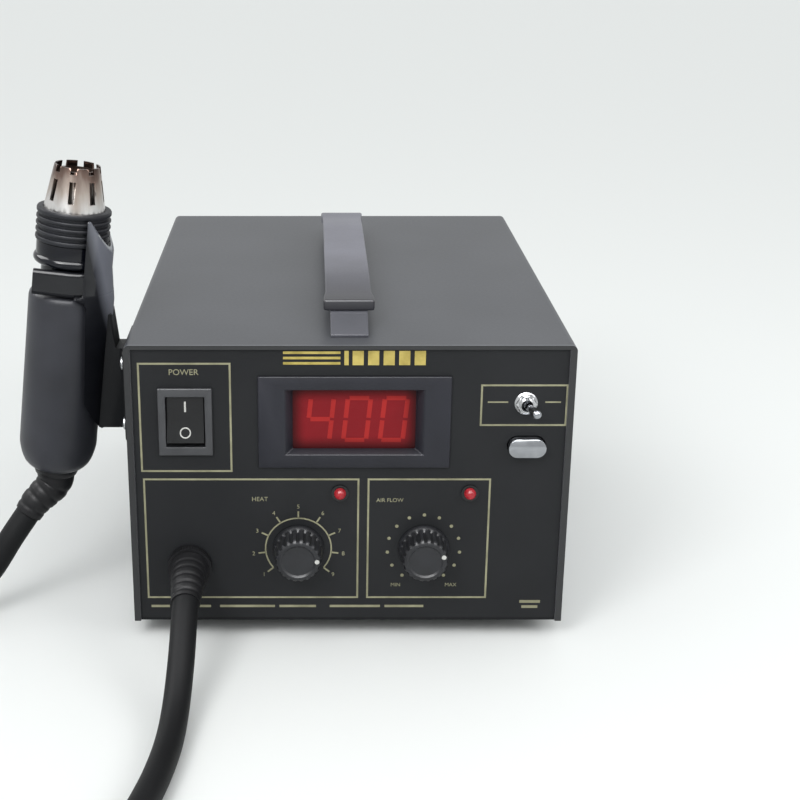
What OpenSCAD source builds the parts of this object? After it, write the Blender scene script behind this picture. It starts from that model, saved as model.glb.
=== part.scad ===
// Hot air rework station: a steel cased control unit with a power rocker, a three digit display,
// a toggle, a push button and two dials, a strap handle on top, and a hot air handpiece that hangs
// nozzle up in a holder on the left side and is fed through an air hose.
// Front faces -Y, left is -X, Z is up and the feet stand on Z = 0.

/* [Case] */
// Width of the case
case_w = 187; // [182:1:230]
// Depth of the case, from the front panel's face to the rear panel's face
case_d = 245; // [235:1:300]
// Height of the case without its feet
case_h = 126.5; // [124:0.5:160]
// Thickness of the steel sheet
sheet = 1.2; // [0.8:0.1:1.6]
// Outside radius of the two long bends of the cover
bend_r = 2.5; // [2:0.1:4]
// Thickness of the front panel
panel_t = 2; // [1.5:0.1:3]
// Width of the cover's folded edge beside the front panel
lip_side = 2.8; // [2:0.1:5]
// Width of the cover's folded edge above the front panel
lip_top = 1.8; // [1.7:0.1:4]
// Width of the cover's folded edge behind the rear panel
rear_lip = 9; // [8:0.5:14]
// Height of the tray's upturned edges
flange_h = 16; // [14:0.5:20]
// Number of vent slots in a row on each side
vent_n = 10; // [4:1:12]
// Width of a vent slot
vent_w = 3; // [2:0.1:4]
// Length of a vent slot
vent_l = 28; // [16:1:32]
// Distance between vent slots
vent_pitch = 8; // [6:0.5:9]

/* [Feet] */
// Height of a rubber foot
foot_h = 8.5; // [6:0.5:12]
// Radius of a rubber foot
foot_r = 10; // [8:0.5:13]
// Distance from the case's side to a foot's centre
foot_in = 21; // [18:1:30]
// Distance from the front and rear panels to a foot's centre
foot_back = 29; // [28:1:45]

/* [Handle] */
// Width of the strap at its middle
strap_w = 20; // [18:0.5:26]
// Width of the strap at its two ends
strap_end_w = 21.8; // [21:0.2:28]
// Thickness of the strap
strap_t = 4.8; // [4:0.1:6]
// Height of the strap's underside at its ends above the case
strap_gap = 7.4; // [6:0.2:12]
// Rise of the strap from its ends to its middle
strap_rise = 2; // [1:0.2:5]
// Length of the strap from end to end
strap_l = 174; // [150:1:190]
// Distance from the front panel to the strap's front end
strap_front = 24.5; // [18:0.5:34]
// Length of the stiff middle of the strap
grip_l = 88; // [70:1:100]
// Width of the narrow foot under each end of the strap
strap_foot_w = 15.8; // [12:0.2:18]
// Length of the strap's foot
strap_foot_l = 28; // [24:0.5:32]

/* [Power switch] */
// Width of the switch bezel
switch_w = 22.6; // [21.6:0.1:24]
// Height of the switch bezel
switch_h = 29.7; // [29:0.1:32]
// Width of the rocker's opening
rocker_w = 16.4; // [15:0.1:17]
// Height of the rocker's opening
rocker_h = 22.3; // [21.5:0.1:23]
// Tilt of the rocker to either side
rocker_tilt = 9; // [6:0.5:9]
// Distance from the case's left side to the switch centre
switch_in = 24.8; // [20:0.2:28]
// Distance from the top to the switch centre
switch_down = 33.5; // [30:0.5:36]

/* [Display] */
// Width of the display's surround
window_w = 80.7; // [76:0.1:84]
// Height of the display's surround
window_h = 40.6; // [38:0.1:42]
// Width of the opening in the surround's face
window_open_w = 58.4; // [56:0.1:62]
// Height of the opening in the surround's face
window_open_h = 29; // [28:0.1:31]
// Width of the lit field
lit_w = 51.3; // [48:0.1:53]
// Height of the lit field
lit_h = 25.9; // [22:0.1:27]
// Offset of the display from the middle of the panel
window_x = 2; // [-2:0.5:6]
// Distance from the top to the display centre
window_down = 33.8; // [30:0.2:36]

/* [Toggle and push button] */
// Length of the toggle's lever from its pivot
lever_l = 14; // [10:0.5:18]
// Radius of the lever's tip
lever_tip_r = 2; // [1.5:0.1:2.5]
// Radius of the lever where it leaves the bush
lever_r = 1.2; // [1:0.1:1.3]
// Tilt of the lever to either side
lever_tilt = 12; // [8:0.5:12]
// Distance from the case's right side to the toggle
toggle_in = 20; // [18:0.5:26]
// Distance from the top to the toggle
toggle_down = 25.5; // [22:0.5:27]
// Width of the push button
button_w = 15.7; // [14:0.1:17]
// Height of the push button
button_h = 8.3; // [7.5:0.1:9]
// How far the push button stands proud of the panel
button_out = 4.4; // [3.6:0.1:6]
// Travel of the push button
button_travel = 2.5; // [1.5:0.1:3]
// Distance from the toggle down to the push button
button_drop = 19; // [17:0.5:22]

/* [Dials] */
// Radius of a knob at the panel
knob_r = 11; // [9:0.1:12]
// Height of a knob
knob_h = 14; // [12:0.2:18]
// Radius of a control's shaft
shaft_r = 3; // [2.5:0.1:3.2]
// Number of grip flutes round a knob
flute_n = 20; // [12:1:28]
// Offset of the heat dial from the middle of the panel
heat_x = -21.6; // [-25:0.2:-18]
// Offset of the air dial from the middle of the panel
air_x = 32.4; // [28:0.2:36]
// Height of the dials above the case's underside
dial_up = 34.5; // [32:0.5:38]
// Distance from the display's surround down to the indicator lamps
lamp_drop = 11.9; // [9:0.1:13]
// Radius of an indicator lamp
lamp_r = 2.5; // [2:0.1:2.6]

/* [Air hose] */
// Diameter of the air hose
hose_d = 11; // [9:0.2:12]
// Distance from the case's left side to the hose outlet
outlet_in = 25; // [22:0.5:30]
// Height of the hose outlet above the case's underside
outlet_up = 26.5; // [24:0.5:28]
// Radius of the outlet's collar
gland_r = 9.5; // [8.8:0.1:11]

/* [Holder] */
// Wall of the moulded cradle
cradle_wall = 2.2; // [1.6:0.1:2.6]
// Clearance between the handpiece and its cradle
cradle_fit = 0.5; // [0.4:0.1:0.8]
// Length of the cradle below the fork's middle
cradle_len = 68; // [62:1:72]
// Distance from the handpiece's axis to the cradle's front edges, below the fork
cradle_edge = 11; // [9:0.5:12]
// Length of the tall back rest above the fork
rest_l = 22; // [14:0.5:24]
// Thickness of the fork that carries the handpiece
fork_t = 11; // [9:0.5:12]
// Length of the fork's arms past the handpiece's axis
fork_l = 13; // [9:0.5:14]
// Width of the fork's arms
fork_w = 4.2; // [4:0.1:5]
// Distance from the case's side to the handpiece's axis at the fork
hand_gap = 25.3; // [24.5:0.1:32]
// Distance from the front panel back to the handpiece's axis
hand_back = 30.5; // [28:0.5:60]
// Height of the fork's middle above the case's top
hand_up = 21.5; // [18:0.5:26]
// Tilt of the handpiece away from the case
hand_tilt = 7; // [4:0.5:9]

/* [Handpiece] */
// Radius of the grip
grip_r = 16.8; // [16:0.1:18]
// Wall of the grip's shells
grip_wall = 2.4; // [2:0.1:3]
// Length of the grip below the fork
grip_len = 82; // [80:1:96]
// Radius of the neck that sits in the fork
neck_r = 12.4; // [12:0.1:13.2]
// Radius of the band above the neck
band_r = 15.2; // [14.8:0.1:16]
// Radius of the ribbed collar
collar_r = 15.6; // [15.2:0.1:16.2]
// Number of grooves round the collar
collar_grooves = 4; // [3:1:5]
// Radius of the heat guard at its base
guard_r = 12.8; // [12:0.1:13.4]
// Radius of the heat guard at its mouth
guard_tip_r = 9.5; // [8:0.1:10.5]
// Length of the heat guard that shows above the collar
guard_l = 18; // [16:0.5:26]
// Wall of the heat guard
guard_wall = 0.8; // [0.5:0.1:1.2]
// Number of slots round the heat guard
guard_slots = 8; // [5:1:10]
// Radius of the inner air tube
tube_r = 7; // [6:0.1:7.5]

/* [Hidden] */
$fn = 64;

// Planes of the case
top_z = foot_h + case_h;
front_y = -case_d / 2;
back_y = case_d / 2;
side_x = case_w / 2;
seam = 0.2;
// Over-travel of every cut past the face it opens
cut = 1;
// Gap that parts which move past each other keep
run = 0.4;

// Places of the controls on the front panel, as X and Z
switch_at = [-side_x + switch_in, top_z - switch_down];
window_at = [window_x, top_z - window_down];
toggle_at = [side_x - toggle_in, top_z - toggle_down];
button_at = [toggle_at[0] + 1, toggle_at[1] - button_drop];
heat_at = [heat_x, foot_h + dial_up];
air_at = [air_x, foot_h + dial_up];
lamp_z = window_at[1] - window_h / 2 - lamp_drop;
lamps_at = [[heat_x + 17.8, lamp_z], [air_x + 19.1, lamp_z]];
outlet_at = [-side_x + outlet_in, foot_h + outlet_up];
inlet_at = [-side_x + 40, foot_h + 40];

// Screws
screw_r = 1.5;
screw_head_r = 2.8;
screw_head_h = 1.8;
screw_l = 7;
side_screw_y = [front_y + 26, back_y - 26];
side_screw_z = foot_h + 9;
rear_screw_x = side_x - 6;
foot_screw_r = 2;
foot_at = [for (sx = [-1, 1], sy = [-1, 1]) [sx * (side_x - foot_in), sy * (back_y - foot_back)]];

// Handpiece frame: the origin is on its axis at mid height of the fork, Z runs to the nozzle
hand_x = -side_x - hand_gap;
hand_y = front_y + hand_back;
hand_z = top_z + hand_up;
cradle_r = grip_r + cradle_fit;
cradle_out_r = cradle_r + cradle_wall;
fork_top = fork_t / 2;
grip_top = -fork_top - run;
grip_end = -fork_top - grip_len;
band_z = fork_top + 0.3;
band_h = 9.8;
collar_z = band_z + band_h;
collar_h = 14;
guard_z = collar_z + collar_h;
neck_fit = 0.8;
// The elbow of the tail leaves downwards and outwards, towards the hose's end. Boot and hose part
// on a plane along the pull at the tip's height, and are drawn past it by a lap before the trim
tail_cap_h = 3.5;
tail_drawn = [[0, 0, grip_end - tail_cap_h], [0, 0, grip_end - 6.5], [-1.2, -0.5, grip_end - 9.8],
    [-4.4, -1.8, grip_end - 13.8], [-7.8, -3.2, grip_end - 18], [-10.4, -4.3, grip_end - 22.8]];
tail_end_r = 6.3;
tail_radii = [8.4, 8.1, 7.6, 7.1, 6.7, tail_end_r, tail_end_r];
tail_tip = tail_drawn[5];
tail_heading = unit(tail_tip - tail_drawn[4]);
tail_lap = 4;
tail_route = concat(tail_drawn, [tail_tip + tail_lap * tail_heading]);

// A point of the handpiece's frame in the case's frame, moved on along the tail by a gap
function hand_turn(p) = [p[0] * cos(hand_tilt) + p[2] * sin(hand_tilt), p[1],
    p[2] * cos(hand_tilt) - p[0] * sin(hand_tilt)];
function hand_point(p, gap) = [hand_x, hand_y, hand_z] + hand_turn(p + gap * tail_heading);

// The part's origin is on the floor under the middle of the case and handpiece together
tail_reach = tail_end_r * sqrt(1 - pow(tail_heading[1], 2)) / abs(tail_heading[2]);
tail_low_x = hand_point(tail_tip - [tail_reach, 0, 0], 0)[0];
toggle_out = 2;
lever_out = toggle_out + (lever_l - lever_tip_r) * cos(lever_tilt) + lever_tip_r;
inlet_t = 2.2;
inlet_out = inlet_t + screw_head_h;
base_x = (tail_low_x + side_x + screw_head_h) / 2;
base_y = (inlet_out - lever_out) / 2;

// Route of the air hose outside the case, chosen by hand, with Y counted from the panel's face.
// Near its two ends it follows the outlet and the handpiece, whose places in this drawing are named
coil_x = -150;
coil_y = front_y - 213.5;
coil_r = 58;
front_drawn = [
    [-68.5, -4, 35], [-68.5, -15.5, 34], [-68.5, -27.5, 30.5], [-68.5, -39.5, 25],
    [-68.5, -51.5, 19], [-68.8, -63.5, 13], [-69.2, -75.5, 8.6], [-69.8, -88.5, 6.3],
    [-71, -102.5, 5.6], [-73.5, -120.5, 5.6], [-77.5, -139.5, 5.6], [-82.5, -160.5, 5.6],
    [-88, -185.5, 5.6], [-92, -213.5, 5.6]];
back_drawn = [
    [-208, -213.5, 17], [-208, -192.5, 15.2], [-208, -171.5, 11.2], [-208, -150.5, 7.4],
    [-208, -129.5, 5.8], [-208, -112.5, 5.6], [-208, -95.5, 5.6], [-208, -78.5, 5.6],
    [-208, -61.5, 5.6], [-207.5, -44.5, 5.6], [-205, -29.5, 5.6], [-200, -15.5, 5.6],
    [-191.5, -3.2, 5.7], [-181, 7.3, 7.8], [-170, 15.2, 13.4], [-160, 20.2, 22.8]];
back_drawn_end = [-142.9, 26.1, 48.3];
function eased(i, n) = pow(max(0, 1 - i / n), 2);
front_start = [outlet_at[0], front_y - 4, outlet_at[1]];
front_off = front_start - front_drawn[0] - [0, front_y, 0];
front_route = [for (i = [0:len(front_drawn) - 1])
    front_drawn[i] + [0, front_y, 0] + eased(i, 8) * front_off];
back_last = len(back_drawn) - 1;
back_off = hand_point(tail_tip, run) - back_drawn_end - [0, front_y, 0];
back_route = concat([for (i = [0:back_last])
    back_drawn[i] + [0, front_y, 0] + eased(back_last + 1.6 - i, 8) * back_off],
    [hand_point(tail_tip, run + 13), hand_point(tail_tip, -tail_lap)]);
boot_route = [for (i = [0:2]) front_route[i]];
boot_radii = [8.5, 7.4, 6.3];

// Inside the case
inlet_tail = 26.5;
coil_half = 25;
transformer_at = [-side_x + 45.5, back_y - inlet_tail - coil_half - 5];
board_at = [-44, -38];
board_z = foot_h + sheet + 8;
pump_at = [side_x - 51.5, back_y - 92.5];
pump_z = foot_h + sheet + 7;
arm_pivot = [pump_at[0], pump_at[1] - 44];
nipple_at = [pump_at[0] - 26, pump_at[1] - 38, pump_z + 22];
tube_start = [nipple_at[0], nipple_at[1] - 9.5, nipple_at[2]];

// Extrusions of a drawing: of X and Z along Y, and of Y and Z along X
module along_y(y0, y1) {
    translate([0, y1, 0]) rotate([90, 0, 0]) linear_extrude(y1 - y0) children();
}

module along_x(x0, x1) {
    translate([x0, 0, 0]) rotate([90, 0, 90]) linear_extrude(x1 - x0) children();
}

// A rectangle round its middle, with round corners
module round_rect(w, h, r) {
    square([w - 2 * r, h], center = true);
    square([w, h - 2 * r], center = true);
    for (sx = [-1, 1], sy = [-1, 1])
        translate([sx * (w / 2 - r), sy * (h / 2 - r)]) circle(r);
}

// A slot with round ends, long side upright
module slot_shape(w, l) {
    square([w, l - w], center = true);
    for (s = [-1, 1]) translate([0, s * (l - w) / 2]) circle(w / 2);
}

// A cylinder along Y between two planes, at X and Z
module rod_y(at, r, y0, y1) {
    translate([at[0], y1, at[1]]) rotate([90, 0, 0]) cylinder(r = r, h = y1 - y0);
}

// A block between two corners
module block(low, high) {
    translate(low) cube(high - low);
}

// A pan head screw whose head stands on Z = 0 and whose shank points down
module pan_screw(length) {
    difference() {
        intersection() {
            cylinder(r = screw_head_r, h = screw_head_h);
            translate([0, 0, screw_head_h - 5]) sphere(5);
        }
        translate([0, 0, screw_head_h - 0.8]) {
            cube([3.2, 0.7, 2], center = true);
            cube([0.7, 3.2, 2], center = true);
        }
    }
    translate([0, 0, -length]) cylinder(r = screw_r, h = length);
}

// A solid swept along a route, with a radius at each point of the route
function unit(v) = v / norm(v);
function heading(p, i) = unit(p[min(i + 1, len(p) - 1)] - p[max(i - 1, 0)]);
function ring(p, i, r, n) =
    let (t = heading(p, i), a = unit(cross(abs(t[2]) > 0.9 ? [0, 1, 0] : [0, 0, 1], t)), b = cross(t, a))
    [for (k = [0:n - 1]) p[i] + r * (cos(360 * k / n) * a + sin(360 * k / n) * b)];

module swept(p, radii, n = 12) {
    points = [for (i = [0:len(p) - 1]) each ring(p, i, radii[i], n)];
    walls = [for (i = [0:len(p) - 2], k = [0:n - 1])
        [i * n + k, i * n + (k + 1) % n, (i + 1) * n + (k + 1) % n, (i + 1) * n + k]];
    polyhedron(points, concat([[for (k = [n - 1:-1:0]) k]], walls,
        [[for (k = [0:n - 1]) (len(p) - 1) * n + k]]), convexity = 6);
}

function same(r, p) = [for (q = p) r];

// Section of the cover: an arch with two round shoulders, standing on the case's underside
module arch(w, top, r) {
    low = foot_h;
    translate([-w / 2, low]) square([w, top - r - low]);
    translate([-w / 2 + r, low]) square([w - 2 * r, top - low]);
    for (s = [-1, 1]) translate([s * (w / 2 - r), top - r]) circle(r);
}

module side_vents() {
    for (row = [0, 1], i = [0:vent_n - 1])
        translate([back_y - 24 - i * vent_pitch, foot_h + case_h * (row == 0 ? 0.38 : 0.7)])
            slot_shape(vent_w, vent_l);
}

module side_holes(r) {
    for (y = side_screw_y)
        translate([-side_x - cut, y, side_screw_z]) rotate([0, 90, 0]) cylinder(r = r, h = case_w + 2 * cut);
}

// Steel cover: top and sides in one bent sheet, folded in round the front panel and behind the rear one
module top_cover() color("#6a6d74") {
    difference() {
        along_y(front_y - sheet, back_y) arch(case_w, top_z, bend_r);
        along_y(front_y, back_y - 2 * sheet)
            translate([0, -cut]) arch_inside();
        along_y(front_y - sheet - cut, front_y + cut)
            translate([-side_x + lip_side, 0]) square([case_w - 2 * lip_side, top_z - lip_top]);
        along_y(back_y - 2 * sheet - cut, back_y - sheet + cut)
            translate([-side_x + rear_lip, 0]) square([case_w - 2 * rear_lip, top_z - rear_lip]);
        along_y(back_y - sheet, back_y + cut) translate([0, -cut]) arch_inside();
        along_x(-side_x - cut, side_x + cut) side_vents();
        side_holes(screw_r);
        for (x = [-1, 1])
            rod_y([x * rear_screw_x, top_z - 5.5], screw_r, back_y - 4, back_y - sheet + cut);
        for (y = handle_screw_y)
            translate([0, y, top_z - 4]) cylinder(r = foot_screw_r, h = 6);
        for (p = bracket_holes)
            translate([-side_x - cut, p[0], p[1]]) rotate([0, 90, 0]) cylinder(r = screw_r, h = 4);
    }
}

module arch_inside() {
    r = bend_r - sheet;
    w = case_w - 2 * sheet;
    top = top_z - sheet + cut;
    translate([-w / 2, 0]) square([w, top - r]);
    translate([-w / 2 + r, 0]) square([w - 2 * r, top]);
    for (s = [-1, 1]) translate([s * (w / 2 - r), top - r]) circle(r);
}

tray_x = side_x - sheet - seam;

// Steel tray: the floor of the case, with upturned edges that the cover and the panels are fixed to
module base_tray() color("#4a4c50") {
    rear_x = side_x - rear_lip - 1;
    difference() {
        union() {
            block([-tray_x, front_y, foot_h], [tray_x, back_y - 2 * sheet, foot_h + sheet]);
            block([-rear_x, back_y - 3 * sheet, foot_h], [rear_x, back_y - sheet, foot_h + sheet]);
            for (s = [-1, 1])
                block([s < 0 ? -tray_x : tray_x - sheet, front_y + 12, foot_h],
                    [s < 0 ? -tray_x + sheet : tray_x, back_y - 6, foot_h + flange_h]);
            block([-tray_x + 6, front_y + panel_t, foot_h],
                [tray_x - 6, front_y + panel_t + sheet, foot_h + flange_h - 4]);
            block([-rear_x, back_y - 2 * sheet, foot_h], [rear_x, back_y - sheet, foot_h + flange_h]);
            for (p = board_posts) translate([p[0], p[1], foot_h]) cylinder(r = 3.5, h = board_z - foot_h);
        }
        for (p = foot_at) translate([p[0], p[1], foot_h - cut]) cylinder(r = foot_screw_r, h = 4);
        side_holes(screw_r);
        for (x = [-1, 1])
            rod_y([x * (rear_screw_x - 20), foot_h + 8], screw_r, back_y - 5, back_y);
        for (i = [0:7], s = [-1, 1])
            translate([s * 36, i * 7 - 14, foot_h + sheet / 2]) rotate([0, 0, 90])
                linear_extrude(2 * cut + sheet, center = true) slot_shape(3, 22);
    }
}

board_w = 84;
board_d = 96;
board_posts = [for (sx = [-1, 1], sy = [-1, 1])
    [board_at[0] + sx * (board_w / 2 - 5), board_at[1] + sy * (board_d / 2 - 5)]];

// Front panel: a flat plate with an opening for every control
module front_panel() color("#24262a") {
    along_y(front_y, front_y + panel_t) difference() {
        translate([-tray_x, foot_h + sheet]) square([2 * tray_x, case_h - 2 * sheet - seam]);
        translate(switch_at) square([switch_w - 1.4, switch_h - 2.5], center = true);
        translate(window_at) square([window_w - 4.2, window_h - 4.1], center = true);
        translate(toggle_at) circle(3.1);
        translate(button_at) rotate(90) slot_shape(button_h + 2 * run, button_w + 2 * run);
        for (p = [heat_at, air_at]) translate(p) circle(bush_r + 0.1);
        for (p = lamps_at) translate(p) circle(lamp_r + 0.6);
        translate(outlet_at) circle(gland_r - 2);
    }
}

inlet_w = 27.4;
inlet_h = 20;
inlet_flange = [50, 25];

// Rear panel: a plate with the inlet's opening and a field of vent slots
module rear_panel() color("#4a4c50") {
    along_y(back_y - sheet, back_y) difference() {
        translate([-tray_x, foot_h]) square([2 * tray_x, case_h - sheet - seam]);
        translate(inlet_at) square([inlet_w + 0.4, inlet_h + 0.4], center = true);
        for (s = [-1, 1]) {
            translate([inlet_at[0] + s * 20, inlet_at[1]]) circle(screw_r);
            translate([s * rear_screw_x, top_z - 5.5]) circle(screw_r);
            translate([s * (rear_screw_x - 20), foot_h + 8]) circle(screw_r);
        }
        for (i = [0:8], row = [0, 1])
            translate([8 + i * 8, foot_h + 50 + row * 38]) slot_shape(vent_w, vent_l);
    }
}

// Four tapered rubber feet with a well for the screw
module rubber_feet() color("#1c1c1e") {
    for (p = foot_at) translate([p[0], p[1], 0]) difference() {
        union() {
            cylinder(r1 = foot_r - 1.4, r2 = foot_r, h = 2.5);
            translate([0, 0, 2.5]) cylinder(r = foot_r, h = foot_h - 2.5);
        }
        translate([0, 0, -cut]) cylinder(r = foot_r - 4.6, h = cut + 4.2);
        cylinder(r = foot_screw_r, h = foot_h + cut);
    }
}

module foot_screws() color("#9a9ca0") {
    for (p = foot_at) translate([p[0], p[1], 0]) {
        translate([0, 0, 2]) cylinder(r = 3.6, h = 2.2);
        translate([0, 0, 4.2]) cylinder(r = foot_screw_r, h = foot_h);
    }
}

// The pan head screws of the cover, the rear panel and the inlet
module case_screws() color("#9a9ca0") {
    for (s = [-1, 1], y = side_screw_y)
        translate([s * side_x, y, side_screw_z]) rotate([0, s * 90, 0]) pan_screw(screw_l);
    for (s = [-1, 1]) {
        translate([s * rear_screw_x, back_y, top_z - 5.5]) rotate([-90, 0, 0]) pan_screw(screw_l);
        translate([s * (rear_screw_x - 20), back_y, foot_h + 8]) rotate([-90, 0, 0]) pan_screw(screw_l);
        translate([inlet_at[0] + s * 20, back_y + inlet_t, inlet_at[1]]) rotate([-90, 0, 0])
            pan_screw(screw_l);
    }
}

// Strap handle: two narrow feet, a stiff grip and two flexible spans that flare to the ends
strap_front_y = front_y + strap_front;
strap_back_y = strap_front_y + strap_l;
grip_front_y = (strap_front_y + strap_back_y - grip_l) / 2;
grip_back_y = grip_front_y + grip_l;
strap_low = top_z + strap_gap;
handle_screw_y = [strap_front_y + 6, strap_back_y - 6];

module foot_profile() {
    ramp = strap_foot_l / 2;
    polygon([[-ramp, 0], [-ramp, 1], [-ramp + 2, 2], [-2, strap_gap - 0.6], [-1, strap_gap],
        [ramp, strap_gap], [ramp, 0]]);
}

module handle_feet() color("#55565e") {
    difference() {
        for (s = [-1, 1])
            translate([0, s < 0 ? strap_front_y : strap_back_y, top_z]) mirror([0, s < 0 ? 0 : 1, 0])
                along_x(-strap_foot_w / 2, strap_foot_w / 2) foot_profile();
        for (y = handle_screw_y) translate([0, y, top_z - cut]) cylinder(r = foot_screw_r, h = 5.5 + cut);
    }
}

module handle_screws() color("#9a9ca0") {
    for (y = handle_screw_y) translate([0, y, top_z]) {
        translate([0, 0, -sheet - 2]) cylinder(r = 3.6, h = 2);
        translate([0, 0, -sheet]) cylinder(r = foot_screw_r, h = sheet + 5.5);
    }
}

module strap_section(w) {
    round_rect(w, strap_t, strap_t * 0.4);
}

module handle_grip() color("#6d6e78") {
    mid = strap_low + strap_rise + strap_t / 2;
    translate([0, 0, mid]) along_y(grip_front_y, grip_back_y) strap_section(strap_w);
    for (i = [-5:5])
        translate([-strap_w / 2 + 3, (grip_front_y + grip_back_y) / 2 + i * 6 - 1, mid - strap_t / 2 - 0.6])
            cube([strap_w - 6, 2, 1.4]);
}

module strap_slice(y, w, z) {
    translate([0, y, z + strap_t / 2]) rotate([90, 0, 0]) linear_extrude(0.4, center = true)
        offset(r = 1.6, $fn = 24) square([w - 3.2, strap_t - 3.2], center = true);
}

module strap_span(end_y, near_y, s) {
    hull() {
        strap_slice(end_y + s * 0.2, strap_end_w, strap_low);
        strap_slice(end_y + s * 7, strap_end_w, strap_low + 0.2);
    }
    hull() {
        strap_slice(end_y + s * 7, strap_end_w, strap_low + 0.2);
        strap_slice(near_y - s * 0.6, strap_w, strap_low + strap_rise);
    }
}

module handle_spans() color("#6d6e78") {
    strap_span(strap_front_y, grip_front_y, 1);
    strap_span(strap_back_y, grip_back_y, -1);
}

// Power switch: a framed body and a rocker that tips about a pin, with its top pressed for on
rocker_pivot_in = 5;
pin_r = 1.2;
pin_fit = 0.05;

module switch_body() color("#3a3c42") {
    difference() {
        union() {
            along_y(front_y - 1.8, front_y) translate(switch_at) round_rect(switch_w, switch_h, 1);
            along_y(front_y, front_y + 24) translate(switch_at)
                square([switch_w - 1.6, switch_h - 2.7], center = true);
            for (sx = [-1, 1], sz = [-1, 1])
                translate([switch_at[0] + sx * 5, front_y + 28, switch_at[1] + sz * 7])
                    cube([0.8, 9, 6.3], center = true);
        }
        along_y(front_y - 1.8 - cut, front_y + 13) translate(switch_at)
            square([rocker_w, rocker_h], center = true);
        translate([switch_at[0], front_y + rocker_pivot_in, switch_at[1]]) rotate([0, 90, 0])
            cylinder(r = pin_r + pin_fit, h = rocker_w + 3, center = true);
    }
}

// The rocker in its own frame: the pin is along X at the origin, the face looks to -Y
module rocker_shape() {
    half = rocker_h / 2 - 1.25;
    face = rocker_pivot_in + 1.8;
    polygon([[-face, half], [-face + 1.4, 0], [-face, -half], [-1, -half], [4, -3], [4, 3], [-1, half]]);
}

module switch_rocker() color("#26282c") {
    translate([switch_at[0], front_y + rocker_pivot_in, switch_at[1]]) rotate([-rocker_tilt, 0, 0]) {
        along_x(-rocker_w / 2 + run, rocker_w / 2 - run) rocker_shape();
        rotate([0, 90, 0]) cylinder(r = pin_r, h = rocker_w + 2.4, center = true);
    }
}

// Display: a dark surround with a sloped opening, a red filter, the digits and their board
surround_out = 1.4;
filter_y = front_y + 3.5;
filter_t = 1.5;

module display_surround() color("#2c2e3a") {
    difference() {
        union() {
            along_y(front_y - surround_out, front_y) translate(window_at) round_rect(window_w, window_h, 1.2);
            along_y(front_y, front_y + 9) translate(window_at)
                square([window_w - 4.4, window_h - 4.3], center = true);
        }
        hull() {
            along_y(front_y - surround_out - cut, front_y - surround_out) translate(window_at)
                square([window_open_w, window_open_h], center = true);
            along_y(filter_y - 1, filter_y) translate(window_at)
                square([lit_w, lit_h], center = true);
        }
        along_y(filter_y, front_y + 9 + cut) translate(window_at)
            square([lit_w + 3, lit_h + 3], center = true);
    }
}

module display_filter() color("#c81e28") {
    along_y(filter_y, filter_y + filter_t) translate(window_at) square([lit_w + 3, lit_h + 3], center = true);
}

module digit_module() color("#d8d4cc") {
    y0 = filter_y + filter_t;
    along_y(y0, y0 + 8) translate(window_at) square([lit_w - 1, lit_h - 3], center = true);
}

module display_board() color("#2e6b3c") {
    y0 = filter_y + filter_t + 8;
    along_y(y0, y0 + 1.6) translate(window_at) round_rect(window_w - 6, window_h + 2, 1);
    for (i = [-2:2]) translate([window_at[0] + i * 12, y0 + 3.6, window_at[1] - 8])
        cube([8, 4, 9], center = true);
    along_y(front_y + 9, y0) translate(window_at) difference() {
        square([window_w - 8, window_h - 6], center = true);
        square([lit_w + 3.4, lit_h + 3.4], center = true);
    }
}

// Toggle: a bush through the panel, a small body, a nut and a bat lever that swings left and right
// on a cross pin
toggle_pivot_y = front_y - toggle_out;
bush_end = front_y - 4;
lever_ball_r = 1.9;
lever_pin_r = 0.6;

module toggle_body() color("#8c8e92") {
    at = toggle_at;
    difference() {
        union() {
            rod_y(at, 3, bush_end, front_y + panel_t);
            block([at[0] - 6.6, front_y + panel_t, at[1] - 4],
                [at[0] + 6.6, front_y + panel_t + 10, at[1] + 4]);
            for (i = [-1:1])
                translate([at[0] + i * 4.7, front_y + panel_t + 12, at[1]])
                    cube([1.6, 4.4, 0.8], center = true);
        }
        rod_y(at, 2.3, toggle_pivot_y - lever_ball_r, toggle_pivot_y + lever_ball_r + run);
        translate([at[0], toggle_pivot_y, at[1]]) {
            rotate([90, 0, 0]) cylinder(r1 = 1.9, r2 = 2.8, h = 3);
            cylinder(r = lever_pin_r + pin_fit, h = 6 + 2 * cut, center = true);
        }
    }
}

module hex_nut(af, bore, h) {
    difference() {
        cylinder(r = af / sqrt(3), h = h, $fn = 6);
        translate([0, 0, -cut]) cylinder(r = bore, h = h + 2 * cut);
    }
}

module toggle_nut() color("#c9cbd0") {
    translate([toggle_at[0], front_y - 2, toggle_at[1]]) rotate([-90, 0, 0]) {
        hex_nut(8, 3, 1.6);
        translate([0, 0, 1.6]) difference() {
            cylinder(r = 4.8, h = 0.4);
            translate([0, 0, -cut]) cylinder(r = 3, h = 3);
        }
    }
}

module toggle_lever() color("#d4d6da") {
    translate([toggle_at[0], toggle_pivot_y, toggle_at[1]]) rotate([0, 0, lever_tilt]) rotate([90, 0, 0]) {
        sphere(lever_ball_r);
        rotate([90, 0, 0]) cylinder(r = lever_pin_r, h = 5.8, center = true);
        cylinder(r1 = lever_r, r2 = lever_tip_r, h = lever_l - lever_tip_r);
        translate([0, 0, lever_l - lever_tip_r]) sphere(lever_tip_r);
    }
}

// Push button: a chromed cap with a crowned face, and the switch that it works
button_flange = 1.5;

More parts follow.
